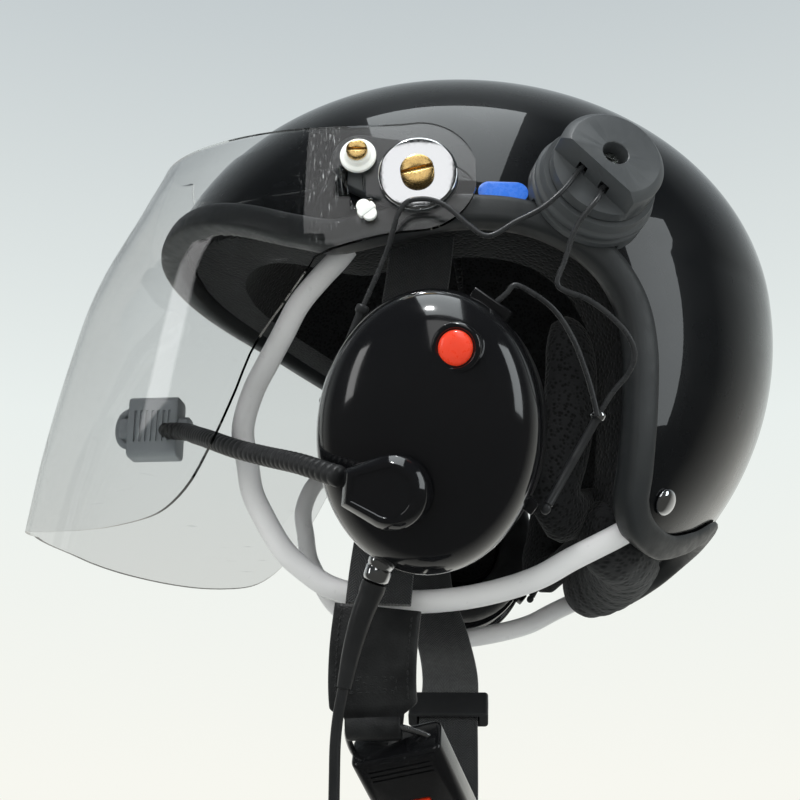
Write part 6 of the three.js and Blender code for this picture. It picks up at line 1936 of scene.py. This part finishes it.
# %% Floor and soft boxes
FLOOR_PAPER = (0.5, 0.5, 0.48)
FLOOR_RADIUS = 2.4
bpy.context.scene.view_settings.view_transform = "Standard"
floor_finish = new_finish("paper_floor", FLOOR_PAPER, 0.8)
mottle(floor_finish, noise(floor_finish, 6, 3), FLOOR_PAPER, (0.47, 0.47, 0.45))
add_bump(floor_finish, noise(floor_finish, 300, 2), 0.1)
floor_mesh = bpy.data.meshes.new("floor")
floor_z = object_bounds()[0][2] - 0.001
floor_mesh.from_pydata([(x, y, floor_z) for x, y in circle(FLOOR_RADIUS, 96)], [], [tuple(range(96))])
floor_mesh.materials.append(floor_finish)
floor = in_scene("floor", floor_mesh)
floor.visible_glossy = False


def soft_box(name, at, toward, size, glow, color=(1, 1, 1)):
    """A soft box whose brightness is the same whatever its size."""
    light = bpy.data.lights.new(name, "AREA")
    light.shape = "RECTANGLE"
    light.size, light.size_y = size
    light.energy = glow * math.pi * size[0] * size[1]
    light.color = color
    lamp = in_scene(name, light)
    lamp.location = at
    lamp.rotation_euler = (Vector(toward) - Vector(at)).to_track_quat("-Z", "Y").to_euler()
    lamp.visible_camera = False


soft_box("overhead_box", (0.42, -0.02, 0.95), (0.1, -0.02, -0.05), (0.6, 1.0), 2.2, (0.92, 0.98, 1))
soft_box("rear_box", (0.5, 1.05, 0.2), (0.1, 0.05, -0.12), (0.35, 0.8), 2.2, (0.92, 0.98, 1))
soft_box("front_box", (0.6, -1.3, 0.3), (0.05, -0.05, -0.15), (0.22, 0.6), 2.0)
soft_box("high_key", (1.0, -0.35, 1.5), (0, 0, -0.15), (0.16, 0.16), 110)
soft_box("washer_card", (1.89, -0.12, 0.89), (0.127, -0.007, -0.06), (0.95, 0.95), 0.95)
print("floor at", round(floor_z, 4))

# %% [markdown]
# Round the set is a pale surround, a little darker overhead. A real studio would use a pale wall and
# black flags that keep it out of the reflections. Here the surround that is seen directly, or
# through the visor, is bright, while reflections see a much dimmer room, and the boxes draw clear
# shapes on the gloss.

# %% Surround
world = bpy.data.worlds.new("surround")
bpy.context.scene.world = world
world.use_nodes = True
tree = world.node_tree


def world_node(kind, links=None, **values):
    node = tree.nodes.new(kind)
    for socket, output in (links or {}).items():
        tree.links.new(output, node.inputs[socket])
    for socket, value in values.items():
        node.inputs[socket.replace("_", " ")].default_value = value
    return node


SKY_STOPS = (
    (0.0, (0.93, 0.93, 0.87, 1)), (0.28, (0.82, 0.87, 0.85, 1)), (0.6, (0.54, 0.59, 0.61, 1)),
)
direction = world_node("ShaderNodeTexCoord").outputs["Generated"]
height = world_node("ShaderNodeSeparateXYZ", {0: direction}).outputs["Z"]
ramp = world_node("ShaderNodeValToRGB", {"Fac": height})
for i, (at, color) in enumerate(SKY_STOPS):
    stop = ramp.color_ramp.elements[i] if i < 2 else ramp.color_ramp.elements.new(at)
    stop.position, stop.color = at, color
path = world_node("ShaderNodeLightPath")
sideways = world_node("ShaderNodeSeparateXYZ", {0: direction}).outputs["X"]
mirrored_glow = world_node(
    "ShaderNodeMapRange", {"Value": sideways}, From_Min=-0.85, From_Max=-0.1, To_Min=0.8, To_Max=0.05,
)
plain_glow = world_node(
    "ShaderNodeMapRange", {"Value": path.outputs["Is Diffuse Ray"]}, To_Min=1.0, To_Max=1.9,
)
glow = world_node("ShaderNodeMix", {
    "Factor": path.outputs["Is Glossy Ray"], "A": plain_glow.outputs["Result"],
    "B": mirrored_glow.outputs["Result"],
})
background = tree.nodes["Background"]
tree.links.new(ramp.outputs["Color"], background.inputs["Color"])
tree.links.new(glow.outputs["Result"], background.inputs["Strength"])
print("surround stops", len(SKY_STOPS))
